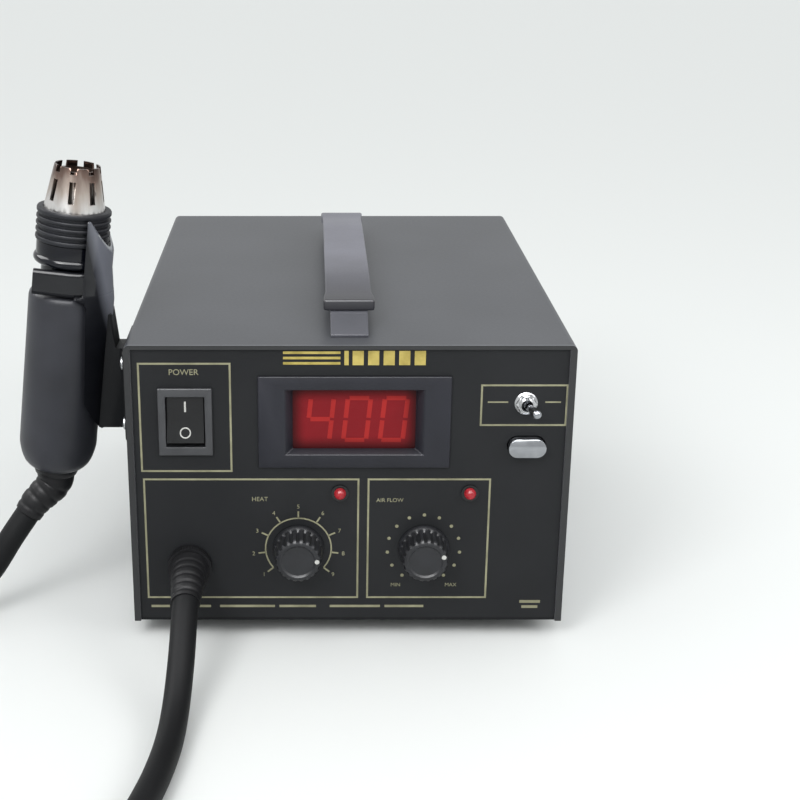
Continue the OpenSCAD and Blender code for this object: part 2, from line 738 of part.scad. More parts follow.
module push_button() color("#d4d6da") {
    y_back = front_y + panel_t + run + button_flange;
    intersection() {
        along_y(front_y - button_out, y_back) translate(button_at) rotate(90) slot_shape(button_h, button_w);
        translate([button_at[0], front_y - button_out + 13, button_at[1]]) rotate([0, 90, 0])
            cylinder(r = 13, h = 2 * button_w, center = true);
    }
    along_y(y_back - button_flange, y_back) translate(button_at) rotate(90)
        slot_shape(button_h + 2.4, button_w + 2.4);
    rod_y(button_at, 2, y_back - 0.5, y_back + button_travel + run + 5);
}

module button_switch() color("#3a3c42") {
    y0 = front_y + panel_t + run + button_flange + button_travel + run;
    difference() {
        union() {
            block([button_at[0] - 6, y0, button_at[1] - 4.5], [button_at[0] + 6, y0 + 12, button_at[1] + 4.5]);
            for (s = [-1, 1]) {
                block([button_at[0] + s * 13 - 2, front_y + panel_t, button_at[1] - 4],
                    [button_at[0] + s * 13 + 2, y0 + 3, button_at[1] + 4]);
                block([button_at[0] + min(s * 13, s * 5), y0 + 1, button_at[1] - 4],
                    [button_at[0] + max(s * 13, s * 5), y0 + 3, button_at[1] + 4]);
            }
        }
        rod_y(button_at, 2 + run, y0 - cut, y0 + 9);
    }
}

// Dials: a potentiometer behind the panel, its shaft and a fluted knob
bush_r = shaft_r + 0.7;
shaft_fit = 0.05;
nut_t = 2.2;

module control(at) {
    difference() {
        union() {
            rod_y(at, bush_r, front_y - nut_t, front_y + panel_t + 1);
            rod_y(at, 8.5, front_y + panel_t + 2.4, front_y + panel_t + 11);
            rod_y(at, 5.4, front_y + panel_t + 0.8, front_y + panel_t + 3);
            for (i = [-1:1])
                translate([at[0] + i * 5, front_y + panel_t + 7, at[1] - 11]) cube([1.6, 1, 7], center = true);
        }
        rod_y(at, shaft_r + shaft_fit, front_y - nut_t - cut, front_y + panel_t + 9);
    }
}

module shaft(at) {
    rod_y(at, shaft_r, front_y - knob_h + 2, front_y + panel_t + 8.6);
}

module knob(at) {
    translate([at[0], front_y, at[1]]) rotate([90, 0, 0]) difference() {
        rotate_extrude() polygon([[0, 0.5], [knob_r, 0.5], [knob_r, 2.2], [knob_r - 0.7, 3],
            [knob_r - 1, knob_h - 1.2], [knob_r - 2, knob_h], [knob_r - 3.4, knob_h],
            [knob_r - 4.2, knob_h - 0.6], [0, knob_h - 0.6]]);
        for (i = [0:flute_n - 1]) rotate([0, 0, 360 * i / flute_n])
            translate([knob_r - 0.1, 0, 3.4]) cylinder(r = 1.1, h = knob_h, $fn = 16);
        cylinder(r = shaft_r, h = knob_h - 2);
        cylinder(r = 6.6, h = 3.4);
    }
}

module heat_control() color("#8c8e92") control(heat_at);
module heat_shaft() color("#c9cbd0") shaft(heat_at);
module heat_knob() color("#2a2b30") knob(heat_at);
module air_control() color("#8c8e92") control(air_at);
module air_shaft() color("#c9cbd0") shaft(air_at);
module air_knob() color("#2a2b30") knob(air_at);

module control_nuts() color("#c9cbd0") {
    for (at = [heat_at, air_at])
        translate([at[0], front_y - nut_t, at[1]]) rotate([-90, 0, 0]) hex_nut(10, bush_r, nut_t);
}

// Indicator lamps in small black holders
module lamp_holders() color("#26282c") {
    for (p = lamps_at) difference() {
        union() {
            rod_y(p, lamp_r + 1.2, front_y - 0.8, front_y);
            rod_y(p, lamp_r + 0.6, front_y, front_y + 6);
        }
        rod_y(p, lamp_r, front_y - 2, front_y + 6 + cut);
    }
}

module lamp_lenses() color("#d02028") {
    for (p = lamps_at) {
        rod_y(p, lamp_r, front_y - 1.2, front_y + 6);
        translate([p[0], front_y - 1.2, p[1]]) intersection() {
            sphere(lamp_r);
            translate([-5, -10, -5]) cube([10, 10, 10]);
        }
    }
}

// Hose outlet: a threaded gland with its nut, and the boot that holds the hose
gland_thread_r = gland_r - 2.1;

module hose_gland() color("#1e1f22") {
    difference() {
        union() {
            rod_y(outlet_at, gland_r, front_y - 4, front_y);
            rod_y(outlet_at, gland_thread_r, front_y, front_y + 14);
            rod_y(outlet_at, 4.6, front_y + 14, front_y + 22);
        }
        rod_y(outlet_at, 3, front_y - 4 - cut, front_y + 22 + cut);
    }
}

module gland_nut() color("#2c2d31") {
    translate([outlet_at[0], front_y + panel_t, outlet_at[1]]) rotate([-90, 0, 0])
        hex_nut(22, gland_thread_r, 5);
}

module outlet_boot() color("#1e1f22") {
    swept(boot_route, boot_radii, 24);
}

module front_hose() color("#26272b") {
    swept(front_route, same(hose_d / 2, front_route));
}

module back_hose() color("#26272b") {
    difference() {
        swept(back_route, same(hose_d / 2, back_route));
        beyond_the_tip(-run, 0);
    }
}

module hose_coil() color("#26272b") {
    translate([coil_x, coil_y, 0.1]) rotate_extrude($fn = 72) difference() {
        translate([coil_r - 5.6, 0]) square([11.2, 22.6]);
        for (sx = [-1, 1], z = [0, 22.6])
            translate([coil_r + sx * 5.6, z]) rotate(45) square(3.2, center = true);
    }
}

// Holder: a steel bracket on the case's left wall, and a moulded cradle with a fork and a back rest
bracket_t = 2;
bracket_y = 20;
bracket_low = top_z - 47;
bracket_high = top_z - 6;
bracket_holes = [for (sy = [-1, 1], z = [bracket_low + 7, bracket_high - 7])
    [hand_y + sy * (bracket_y - 5), z]];
cradle_screw_s = [-30, -56];
fork_r = neck_r + neck_fit + fork_w / 2;
rest_r = collar_r + 0.6;

module hand_frame() {
    translate([hand_x, hand_y, hand_z]) rotate([0, hand_tilt, 0]) children();
}

// A block on one side of the plane on which boot and hose part, moved off it by a gap
module beyond_the_tip(gap, below) {
    half = 4 * tail_end_r;
    hand_frame() translate(tail_tip + [-half, -half, gap - below * half]) cube([2 * half, 2 * half, half]);
}

// A folded plate on the wall and a nose that reaches out to the cradle and up behind it
module holder_bracket() color("#2a2b2e") {
    wall = -side_x - bracket_t;
    difference() {
        union() {
            along_x(wall, -side_x) translate([hand_y, (bracket_low + bracket_high) / 2])
                round_rect(2 * bracket_y, bracket_high - bracket_low, 3);
            along_y(hand_y - 7, hand_y + 7) polygon([
                [wall, bracket_low + 2], [wall, bracket_high - 3], [wall - 4.2, bracket_high - 3],
                [wall - 6, bracket_high + 12], [wall - 20, bracket_high + 12], [wall - 20, bracket_low + 2]]);
        }
        hand_frame() translate([0, 0, -120]) cylinder(r = cradle_out_r, h = 160);
        for (p = bracket_holes)
            translate([wall - cut, p[0], p[1]]) rotate([0, 90, 0]) cylinder(r = screw_r, h = 4);
        hand_frame() for (s = cradle_screw_s)
            translate([cradle_r, 0, s]) rotate([0, 90, 0]) cylinder(r = screw_r, h = 9);
    }
}

// The cradle's wall, as its section beside the axis: it hugs the grip, the neck and the collar in turn
module cradle_section() {
    low = -cradle_len;
    rest_out = rest_r + 1.5;
    polygon([[cradle_r, low + 1], [cradle_r + 1, low], [cradle_out_r - 1, low], [cradle_out_r, low + 1],
        [cradle_out_r, -fork_top - 3], [rest_out, fork_top], [rest_out, fork_top + rest_l - 0.7],
        [rest_out - 0.7, fork_top + rest_l], [rest_r, fork_top + rest_l], [rest_r, fork_top],
        [neck_r + neck_fit, fork_top], [neck_r + neck_fit, -fork_top], [cradle_r, -fork_top]]);
}

// Its outline as seen from the side: front edges that lean back, a sloped foot, and a round web
// under the fork's arms
module cradle_outline() {
    low = -cradle_len;
    web = 5;
    top_edge = cradle_edge - 1.2;
    union() {
        polygon([[8, fork_top + rest_l + 2], [30, -10], [30, low], [cradle_edge + 9, low],
            [cradle_edge + 1, low + 16], [top_edge, -fork_top - web], [top_edge, -fork_top],
            [8, -fork_top]]);
        difference() {
            translate([top_edge - web, -fork_top - web]) square([web + 1, web + 1]);
            translate([top_edge - web, -fork_top - web]) circle(web);
        }
    }
}

module holder_cradle() color("#1e1f23") {
    hand_frame() difference() {
        union() {
            intersection() {
                rotate_extrude() cradle_section();
                along_y(-30, 30) cradle_outline();
            }
            fork();
        }
        for (s = cradle_screw_s)
            translate([cradle_r - 1, 0, s]) rotate([0, 90, 0]) cylinder(r = screw_r, h = 9);
    }
}

// Half a ring behind the neck and two straight arms, all of one rounded section
module fork() {
    intersection() {
        rotate_extrude() translate([fork_r, 0]) round_rect(fork_w, fork_t, fork_w / 2 - 0.1);
        translate([0, -30, -fork_t]) cube([30, 60, 2 * fork_t]);
    }
    for (s = [-1, 1]) translate([-fork_l, s * fork_r, 0]) rotate([90, 0, 90])
        linear_extrude(fork_l) round_rect(fork_w, fork_t, fork_w / 2 - 0.1);
}

// The screws of the holder: four in the case's wall and two in the cradle
module holder_screws() color("#9a9ca0") {
    for (p = bracket_holes)
        translate([-side_x - bracket_t, p[0], p[1]]) rotate([0, -90, 0]) pan_screw(5);
    hand_frame() for (s = cradle_screw_s)
        translate([cradle_r, 0, s]) rotate([0, 90, 0]) cylinder(r = screw_r, h = 8);
}

// Handpiece, in its own frame. The two grip shells meet on the plane through the axis that faces sideways
module grip_outline(inner) {
    w = inner ? grip_wall : 0;
    r = grip_r - w;
    top = grip_top - (inner ? grip_wall : 0);
    low = grip_end + (inner ? grip_wall : 0);
    tail = inner ? 8 : 10.6;
    polygon([[0, top], [r - 3.2, top], [r - 0.9, top - 1], [r, top - 3.4], [r, low + 13],
        [r - 0.5, low + 9], [r - 1.7, low + 5], [r - 3.8, low + 1.8], [tail, low], [0, low]]);
}

module grip_body() {
    difference() {
        rotate_extrude() grip_outline(false);
        rotate_extrude() grip_outline(true);
        translate([0, 0, grip_top - 20]) cylinder(r = neck_r - 1, h = 30);
        translate([0, 0, grip_end - cut]) cylinder(r = 7.2, h = 8);
    }
}

module grip_front_shell() color("#3c3d43") {
    hand_frame() difference() {
        grip_body();
        translate([-30, 0, grip_end - 5]) cube([60, 30, grip_len + 10]);
    }
}

grip_screw_s = [-22, -46, -68];

module grip_rear_shell() color("#3c3d43") {
    hand_frame() difference() {
        grip_body();
        translate([-30, -30, grip_end - 5]) cube([60, 30, grip_len + 10]);
        for (s = grip_screw_s) translate([-8, 10, s]) rotate([-90, 0, 0]) {
            cylinder(r = screw_r, h = 20);
            translate([0, 0, 3]) cylinder(r = 3, h = 20);
        }
    }
}

module grip_screws() color("#9a9ca0") {
    hand_frame() for (s = grip_screw_s) translate([-8, 13, s]) rotate([-90, 0, 0]) {
        cylinder(r = screw_head_r, h = 1.4);
        translate([0, 0, -9]) cylinder(r = screw_r, h = 9);
    }
}

// The neck carries the inner tube and rests on the fork with its band
module neck_sleeve() color("#202226") {
    hand_frame() difference() {
        union() {
            translate([0, 0, grip_top - 14]) cylinder(r = neck_r - 1, h = 14);
            translate([0, 0, grip_top]) cylinder(r = neck_r, h = band_z - grip_top);
            translate([0, 0, band_z]) rotate_extrude() polygon([[0, 0], [band_r - 0.5, 0], [band_r, 0.5],
                [band_r, band_h - 0.8], [band_r - 0.8, band_h], [0, band_h]]);
        }
        translate([0, 0, grip_top - 15]) cylinder(r = tube_r, h = 60);
    }
}

module ribbed_collar() color("#3a3b40") {
    pitch = collar_h / (collar_grooves + 1);
    hand_frame() translate([0, 0, collar_z]) difference() {
        cylinder(r = collar_r, h = collar_h);
        for (i = [1:collar_grooves]) translate([0, 0, i * pitch]) rotate_extrude()
            translate([collar_r + 0.2, 0]) circle(1.3, $fn = 24);
        translate([0, 0, -cut]) cylinder(r = tube_r, h = 30);
        translate([0, 0, 4]) cylinder(r = guard_r, h = 30);
    }
}

// Slotted heat guard with a notched mouth
module heat_guard() color("#b8b4ae") {
    seat = collar_h - 4;
    hand_frame() translate([0, 0, guard_z]) difference() {
        union() {
            translate([0, 0, -seat]) cylinder(r = guard_r, h = seat);
            cylinder(r1 = guard_r, r2 = guard_tip_r, h = guard_l);
        }
        translate([0, 0, -seat - cut]) cylinder(r = guard_r - guard_wall, h = seat + cut);
        cylinder(r1 = guard_r - guard_wall, r2 = guard_tip_r - guard_wall, h = guard_l);
        translate([0, 0, guard_l - cut]) cylinder(r = guard_tip_r - guard_wall, h = 2 * cut);
        for (i = [0:guard_slots - 1]) rotate([0, 0, 360 * i / guard_slots]) {
            translate([5, -1.3, 3.5]) cube([12, 2.6, guard_l - 9]);
            translate([5, -1.3, guard_l - 2.6]) cube([12, 2.6, 5]);
        }
    }
}

module heater_tube() color("#8d8478") {
    hand_frame() difference() {
        translate([0, 0, grip_top - 13]) cylinder(r = tube_r, h = guard_z + guard_l - grip_top + 11);
        translate([0, 0, grip_top - 14]) cylinder(r = tube_r - 0.6, h = 100);
    }
}

module heater_core() color("#d9d2c4") {
    hand_frame() translate([0, 0, grip_top - 10]) {
        linear_extrude(guard_z + guard_l - grip_top + 3) for (a = [0:60:120]) rotate(a)
            square([2 * (tube_r - 0.8), 1.1], center = true);
        for (i = [1:5]) translate([0, 0, i * 9]) cylinder(r = tube_r - 1.6, h = 1.2);
    }
}

module tail_cap() color("#26272b") {
    hand_frame() difference() {
        union() {
            translate([0, 0, grip_end - tail_cap_h]) cylinder(r1 = 9, r2 = 10, h = tail_cap_h);
            translate([0, 0, grip_end]) cylinder(r = 7.2, h = 9);
        }
        translate([0, 0, grip_end - tail_cap_h - cut]) cylinder(r = 4, h = 20);
    }
}

module tail_boot() color("#1e1f22") {
    difference() {
        hand_frame() swept(tail_route, tail_radii, 24);
        beyond_the_tip(0, 1);
    }
}

// Mains transformer: laminated core and its coil
module transformer_core() color("#55585c") {
    x = transformer_at[0];
    y = transformer_at[1];
    z0 = foot_h + sheet;
    difference() {
        union() {
            block([x - 30, y - 17, z0 + 2], [x + 30, y + 17, z0 + 52]);
            block([x - 42, y - 14, z0], [x + 42, y + 14, z0 + 2]);
        }
        for (s = [-1, 1])
            block([x + s * 15 - 5.4, y - 20, z0 + 12], [x + s * 15 + 5.4, y + 20, z0 + 42]);
        for (s = [-1, 1]) translate([x + s * 37, y, z0 - cut]) cylinder(r = 2.2, h = 5);
    }
}

module transformer_coil() color("#b98a3c") {
    x = transformer_at[0];
    y = transformer_at[1];
    z0 = foot_h + sheet;
    translate([x, y, z0 + 27]) difference() {
        along_y(-coil_half, coil_half) round_rect(41, 29.6, 4);
        along_y(-17, 17) {
            for (s = [-1, 1]) translate([s * 25.3, 0]) square([10, 60], center = true);
            translate([0, 20]) square([60, 10], center = true);
            translate([0, -20]) square([60, 10], center = true);
        }
        along_y(-17, 17) square([19.4, 40], center = true);
    }
}

// Control board on four posts, with its larger parts and the heat sink of the two power switches
module main_board() color("#2e6b3c") {
    x = board_at[0];
    y = board_at[1];
    translate([x, y, board_z]) {
        linear_extrude(1.6) round_rect(board_w, board_d, 2);
        for (p = [[-30, 30, 8, 20], [-12, 34, 6, 14], [-30, 8, 6, 14]])
            translate([p[0], p[1], 1.6]) cylinder(r = p[2], h = p[3]);
        for (p = [[-26, -30], [-8, -30], [10, -30]])
            translate([p[0] - 7, p[1] - 5, 1.6]) cube([14, 10, 9]);
        translate([-8, -14, 1.6]) cube([24, 9, 4]);
    }
}

module heat_sink() color("#a4a7ab") {
    x = board_at[0] + 24;
    y = board_at[1];
    translate([x, y, board_z + 1.6]) {
        cube([4, 56, 34]);
        for (i = [0:5]) translate([4, 2 + i * 10, 0]) cube([10, 2, 34]);
    }
}

// Diaphragm pump: a sprung frame, an electromagnet, the arm that it shakes, and the pump head
module pump_frame() color("#8f9296") {
    x = pump_at[0];
    y = pump_at[1];
    difference() {
        union() {
            block([x - 34, y - 54, pump_z], [x + 34, y + 50, pump_z + 2]);
            translate([arm_pivot[0], arm_pivot[1], pump_z + 2]) cylinder(r = 7, h = 6);
            translate([arm_pivot[0], arm_pivot[1], pump_z + 2]) cylinder(r = 2.5, h = 32);
            for (sx = [-1, 1], sy = [-1, 1])
                translate([x + sx * 28, y - 2 + sy * 46, foot_h + sheet])
                    cylinder(r = 5, h = pump_z - foot_h - sheet);
        }
        for (sx = [-1, 1], sy = [-1, 1])
            translate([x + sx * 28, y - 2 + sy * 46, foot_h]) cylinder(r = 1.6, h = 5);
    }
}

module pump_magnet() color("#a8642c") {
    x = pump_at[0];
    y = pump_at[1] + 24;
    z0 = pump_z + 2;
    for (i = [-1:1]) translate([x + i * 16 - 4, y, z0]) cube([8, 24, 40]);
    block([x - 20, y + 16, z0], [x + 20, y + 24, z0 + 40]);
    translate([x, y + 8, z0 + 20]) along_y(-6, 6) difference() {
        round_rect(22, 40, 3);
        square([8, 44], center = true);
    }
}

module pump_arm() color("#c4c6ca") {
    x = arm_pivot[0];
    y = arm_pivot[1];
    z0 = pump_z + 8.4;
    difference() {
        union() {
            translate([x, y, z0]) cylinder(r = 6, h = 22);
            block([x - 3, y + 4, z0 + 2], [x + 3, y + 54, z0 + 20]);
            block([x - 10, y + 52, z0], [x + 10, y + 65, z0 + 24]);
            block([x - 9.8, y + 18, z0 + 6], [x - 2, y + 26, z0 + 16]);
        }
        translate([x, y, z0 - cut]) cylinder(r = 2.55, h = 30);
    }
}

module pump_head() color("#2c2d31") {
    x = pump_at[0];
    y = pump_at[1] - 22;
    z = pump_z + 22;
    translate([x - 11, y, z]) rotate([0, -90, 0]) {
        cylinder(r = 17, h = 3);
        translate([0, 0, 3]) cylinder(r = 14, h = 5);
    }
    block([x - 32, y - 16, pump_z + 2], [x - 19, y + 16, z + 18]);
    translate([nipple_at[0], nipple_at[1], nipple_at[2]]) rotate([90, 0, 0]) cylinder(r = 2.8, h = 9.5);
}

air_route = [tube_start, tube_start + [-1, -12, 0], tube_start + [-9, -24, 2],
    tube_start + [-24, -34, 8], [-30, front_y + 56, 50], [-52, front_y + 46, 46],
    [outlet_at[0] + 3, front_y + 39, outlet_at[1] + 4], [outlet_at[0], front_y + 30, outlet_at[1]],
    [outlet_at[0], front_y + 22, outlet_at[1]]];

module air_tube() color("#d8d8d4") {
    swept(air_route, same(4.2, air_route));
}

// Mains inlet: a flanged socket with three blades
socket = [24.2, 16.6];
socket_deep = 16.5;

module mains_inlet() color("#1c1c1e") {
    translate([inlet_at[0], back_y, inlet_at[1]]) {
        difference() {
            union() {
                along_y(0, inlet_t) round_rect(inlet_flange[0], inlet_flange[1], 3);
                along_y(-20, 0) square([inlet_w, inlet_h], center = true);
            }
            along_y(inlet_t - socket_deep, inlet_t + cut) polygon([
                [-socket[0] / 2, -socket[1] / 2], [socket[0] / 2, -socket[1] / 2],
                [socket[0] / 2, socket[1] / 2 - 5], [socket[0] / 2 - 5, socket[1] / 2],
                [-socket[0] / 2 + 5, socket[1] / 2], [-socket[0] / 2, socket[1] / 2 - 5]]);
            for (s = [-1, 1]) rod_y([s * 20, 0], screw_r, -1, 4);
        }
        for (p = [[-7, -2], [0, 2], [7, -2]]) {
            translate([p[0], -8.5, p[1]]) cube([2, 12, 4], center = true);
            translate([p[0], 3.5 - inlet_tail, p[1]]) cube([0.8, 7, 5], center = true);
        }
    }
}

// Places a piece that is drawn round the middle of the case
module place() {
    translate([-base_x, -base_y, 0]) children();
}

place() top_cover();
place() base_tray();
place() front_panel();
place() rear_panel();
place() rubber_feet();
place() foot_screws();
place() case_screws();
place() handle_feet();
place() handle_grip();
place() handle_spans();
place() handle_screws();
place() switch_body();
place() switch_rocker();
place() display_surround();
place() display_filter();
place() digit_module();
place() display_board();
place() toggle_body();
place() toggle_nut();
place() toggle_lever();
place() push_button();
place() button_switch();
place() heat_control();
place() heat_shaft();
place() heat_knob();
place() air_control();
place() air_shaft();
place() air_knob();
place() control_nuts();
place() lamp_holders();
place() lamp_lenses();
place() hose_gland();
place() gland_nut();
place() outlet_boot();
place() front_hose();
place() hose_coil();
place() back_hose();
place() holder_bracket();
place() holder_cradle();
place() holder_screws();
place() grip_front_shell();
place() grip_rear_shell();
place() grip_screws();
place() neck_sleeve();
place() ribbed_collar();
place() heat_guard();
place() heater_tube();
place() heater_core();
place() tail_cap();
place() tail_boot();
place() transformer_core();
place() transformer_coil();
place() main_board();
place() heat_sink();
place() pump_frame();
place() pump_magnet();
place() pump_arm();
place() pump_head();
place() air_tube();
place() mains_inlet();
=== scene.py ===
import bpy
import bmesh
from math import atan2, cos, hypot, pi, radians, sin
from mathutils import Matrix, Vector
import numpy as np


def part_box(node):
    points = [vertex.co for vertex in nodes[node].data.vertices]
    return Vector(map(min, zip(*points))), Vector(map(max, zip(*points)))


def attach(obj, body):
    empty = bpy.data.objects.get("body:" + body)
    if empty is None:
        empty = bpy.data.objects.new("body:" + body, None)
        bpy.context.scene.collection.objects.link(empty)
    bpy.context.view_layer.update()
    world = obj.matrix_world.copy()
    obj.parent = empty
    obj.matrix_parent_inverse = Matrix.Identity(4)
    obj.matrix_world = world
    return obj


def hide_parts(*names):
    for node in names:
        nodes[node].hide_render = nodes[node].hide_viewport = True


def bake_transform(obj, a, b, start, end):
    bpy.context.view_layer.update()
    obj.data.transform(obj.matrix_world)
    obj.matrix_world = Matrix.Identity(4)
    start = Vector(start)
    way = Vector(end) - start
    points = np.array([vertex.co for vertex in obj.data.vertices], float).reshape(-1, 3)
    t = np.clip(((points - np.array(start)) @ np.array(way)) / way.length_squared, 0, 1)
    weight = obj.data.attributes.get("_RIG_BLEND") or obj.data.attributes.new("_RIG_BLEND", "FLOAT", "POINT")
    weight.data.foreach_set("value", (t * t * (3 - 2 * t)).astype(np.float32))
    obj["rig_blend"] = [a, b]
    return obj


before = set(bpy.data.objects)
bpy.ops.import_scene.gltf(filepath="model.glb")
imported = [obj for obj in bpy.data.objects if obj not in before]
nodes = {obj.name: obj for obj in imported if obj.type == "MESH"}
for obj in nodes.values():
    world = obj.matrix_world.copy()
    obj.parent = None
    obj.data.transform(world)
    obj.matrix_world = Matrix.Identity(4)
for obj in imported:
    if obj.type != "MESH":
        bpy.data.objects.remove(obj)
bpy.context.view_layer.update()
bpy.ops.object.select_all(action="DESELECT")


# Camera. It stands in front of the panel, looks down by almost 20 degrees, and its lens is shifted
# because the photograph is a cut from a wider one.
panel_low, panel_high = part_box("front_panel")
case_middle = (panel_low[0] + panel_high[0]) / 2
case_front = panel_low[1]


def mm(x, y, z):
    """A place in millimetres: from the case's middle, back from the panel's face, up from the bench."""
    return Vector((case_middle + x / 1000, case_front + y / 1000, z / 1000))


bpy.ops.object.camera_add(location=mm(-15.7, -576.5, 315.3), rotation=(radians(70.48), 0, 0))
camera = bpy.context.object
camera.data.sensor_width = 36
camera.data.lens = 66.1
camera.data.shift_x = 0.10988
camera.data.clip_start = 0.02
camera.data.clip_end = 20
bpy.context.scene.camera = camera


# Air hose. A silicone jacket of 11 mm over the air line and the heater's leads, a little over 1 m
# long. It comes out of the panel, lies on the bench in one and a half turns, and rises to the
# handpiece's tail.
def eased(t):
    """A smooth step from 0 to 1 as t goes from 0 to 1, and level on both sides."""
    t = min(1, max(0, t))
    return t * t * (3 - 2 * t)


def smooth_path(points, step):
    """Points about a step apart on a smooth curve through these."""
    ends = [2 * points[0] - points[1]] + points + [2 * points[-1] - points[-2]]
    path = []
    for p0, p1, p2, p3 in zip(ends, ends[1:], ends[2:], ends[3:]):
        count = max(1, round((p2 - p1).length / step))
        for i in range(count):
            t = i / count
            path.append(0.5 * (2 * p1 + (p2 - p0) * t + (2 * p0 - 5 * p1 + 4 * p2 - p3) * t * t
                               + (3 * p1 - p0 - 3 * p2 + p3) * t ** 3))
    return path + [points[-1]]


def tube(name, path, radii, sides):
    """A closed tube along a path, with a radius at each of its points. The rings are in order."""
    mesh = bmesh.new()
    side = Vector((1, 0, 0))
    rings = []
    for i, point in enumerate(path):
        ahead = (path[min(i + 1, len(path) - 1)] - path[max(i - 1, 0)]).normalized()
        side = (side - ahead * side.dot(ahead)).normalized()
        across = ahead.cross(side)
        rings.append([mesh.verts.new(point + radii[i] * (cos(a) * side + sin(a) * across))
                      for a in (2 * pi * k / sides for k in range(sides))])
    for low, high in zip(rings, rings[1:]):
        for k in range(sides):
            mesh.faces.new((low[k], low[(k + 1) % sides], high[(k + 1) % sides], high[k]))
    mesh.faces.new(rings[0][::-1])
    mesh.faces.new(rings[-1])
    data = bpy.data.meshes.new(name)
    mesh.to_mesh(data)
    mesh.free()
    piece = bpy.data.objects.new(name, data)
    bpy.context.collection.objects.link(piece)
    return piece


def pick(piece):
    """Selects this piece alone."""
    bpy.ops.object.select_all(action="DESELECT")
    piece.select_set(True)
    bpy.context.view_layer.objects.active = piece


def smooth(piece, angle=35):
    """Smooth shading, except where the surface turns by more than the angle."""
    pick(piece)
    bpy.ops.object.shade_smooth_by_angle(angle=radians(angle))
    piece.select_set(False)


def linear(code):
    """An sRGB hex colour as linear red, green, blue and alpha."""
    parts = [int(code[i:i + 2], 16) / 255 for i in (0, 2, 4)]
    return [c / 12.92 if c <= 0.04045 else ((c + 0.055) / 1.055) ** 2.4 for c in parts] + [1]


def add(mat, kind, links=(), **values):
    """Adds a node to a material. Values are its settings or inputs, links are inputs and their sources."""
    new = mat.node_tree.nodes.new(kind)
    for key, value in values.items():
        if key in new.bl_rna.properties:
            setattr(new, key, value)
        else:
            new.inputs[key.replace("_", " ")].default_value = value
    for key, source in links:
        mat.node_tree.links.new(source, new.inputs[key])
    return new


def shader(name, rough, metal=0.0, **uniform):
    """A new material and its Principled shader, with the values that are the same all over."""
    mat = bpy.data.materials.new(name)
    mat.use_nodes = True
    main = mat.node_tree.nodes["Principled BSDF"]
    main.inputs["Roughness"].default_value = rough
    main.inputs["Metallic"].default_value = metal
    for key, value in uniform.items():
        main.inputs[key.replace("_", " ")].default_value = value
    return mat, main


def ramp(mat, source, stops, mode="LINEAR"):
    """Colours set along a value from 0 to 1, as pairs of a place and an sRGB colour."""
    tone = add(mat, "ShaderNodeValToRGB", [("Fac", source)])
    tone.color_ramp.interpolation = mode
    while len(tone.color_ramp.elements) < len(stops):
        tone.color_ramp.elements.new(0.5)
    for element, (place, code) in zip(tone.color_ramp.elements, stops):
        element.position = place
        element.color = linear(code)
    return tone.outputs["Color"]


def grained(name, dark, light, grain_mm, bump, rough, metal=0.0, patch_mm=30, **uniform):
    """A finish whose colour drifts between two tones in patches and whose surface has a fine grain."""
    mat, main = shader(name, rough, metal, **uniform)
    place = add(mat, "ShaderNodeTexCoord").outputs["Object"]
    patch = add(mat, "ShaderNodeTexNoise", [("Vector", place)], Scale=1000 / patch_mm, Detail=4.0)
    grain = add(mat, "ShaderNodeTexNoise", [("Vector", place)], Scale=1000 / grain_mm, Detail=2.0)
    colour = ramp(mat, patch.outputs["Fac"], [(0.35, dark), (0.65, light)])
    shine = add(mat, "ShaderNodeMapRange", [("Value", grain.outputs["Fac"])],
                To_Min=rough - 0.03, To_Max=rough + 0.04)
    relief = add(mat, "ShaderNodeBump", [("Height", grain.outputs["Fac"])],
                 Strength=bump, Distance=0.0002)
    mat.node_tree.links.new(colour, main.inputs["Base Color"])
    mat.node_tree.links.new(shine.outputs["Result"], main.inputs["Roughness"])
    mat.node_tree.links.new(relief.outputs["Normal"], main.inputs["Normal"])
    return mat


def give(piece, mat):
    """The piece wears this material and no other."""
    piece.data.materials.clear()
    piece.data.materials.append(mat)


# The hose and its coil in millimetres and degrees, and the step between the hose's rings in metres
hose_r, hose_low, hose_sides, hose_step = 5.5, 5.6, 24, 0.003
coil_at, coil_r = (-150, -213.5), 58
coil_rise, rise_from, rise_over = 11.4, 300, 62


def coil_height(angle):
    """Height of the hose's middle in the coil: it steps onto its own first turn as it closes."""
    return hose_low + coil_rise * eased((angle - rise_from) / rise_over)


front_lead = [(-68.5, -4, 35), (-68.5, -15.5, 34), (-68.5, -27.5, 30.5), (-68.5, -39.5, 25),
              (-68.5, -51.5, 19), (-68.8, -63.5, 13), (-69.2, -75.5, 8.6), (-69.8, -88.5, 6.3),
              (-71, -102.5, 5.6), (-73.5, -120.5, 5.6), (-77.5, -139.5, 5.6), (-82.5, -160.5, 5.6),
              (-88, -185.5, 5.6)]
coil = [(coil_at[0] + coil_r * cos(radians(a)), coil_at[1] - coil_r * sin(radians(a)), coil_height(a))
        for a in range(0, 541, 20)]
back_lead = [(-208, -192.5, 15.2), (-208, -171.5, 11.2), (-208, -150.5, 7.4), (-208, -129.5, 5.8),
             (-208, -112.5, 5.6), (-208, -95.5, 5.6), (-208, -78.5, 5.6), (-208, -61.5, 5.6),
             (-207.5, -44.5, 5.6), (-205, -29.5, 5.6), (-200, -15.5, 5.6), (-191.5, -3.2, 5.7),
             (-181, 7.3, 7.8), (-170, 15.2, 13.4), (-160, 20.2, 22.7), (-150.2, 23.5, 37.5),
             (-142.8, 26.1, 48)]
hose_path = smooth_path([mm(*p) for p in front_lead + coil + back_lead], hose_step)
hose = tube("air_hose", hose_path, [hose_r / 1000] * len(hose_path), hose_sides)
smooth(hose)
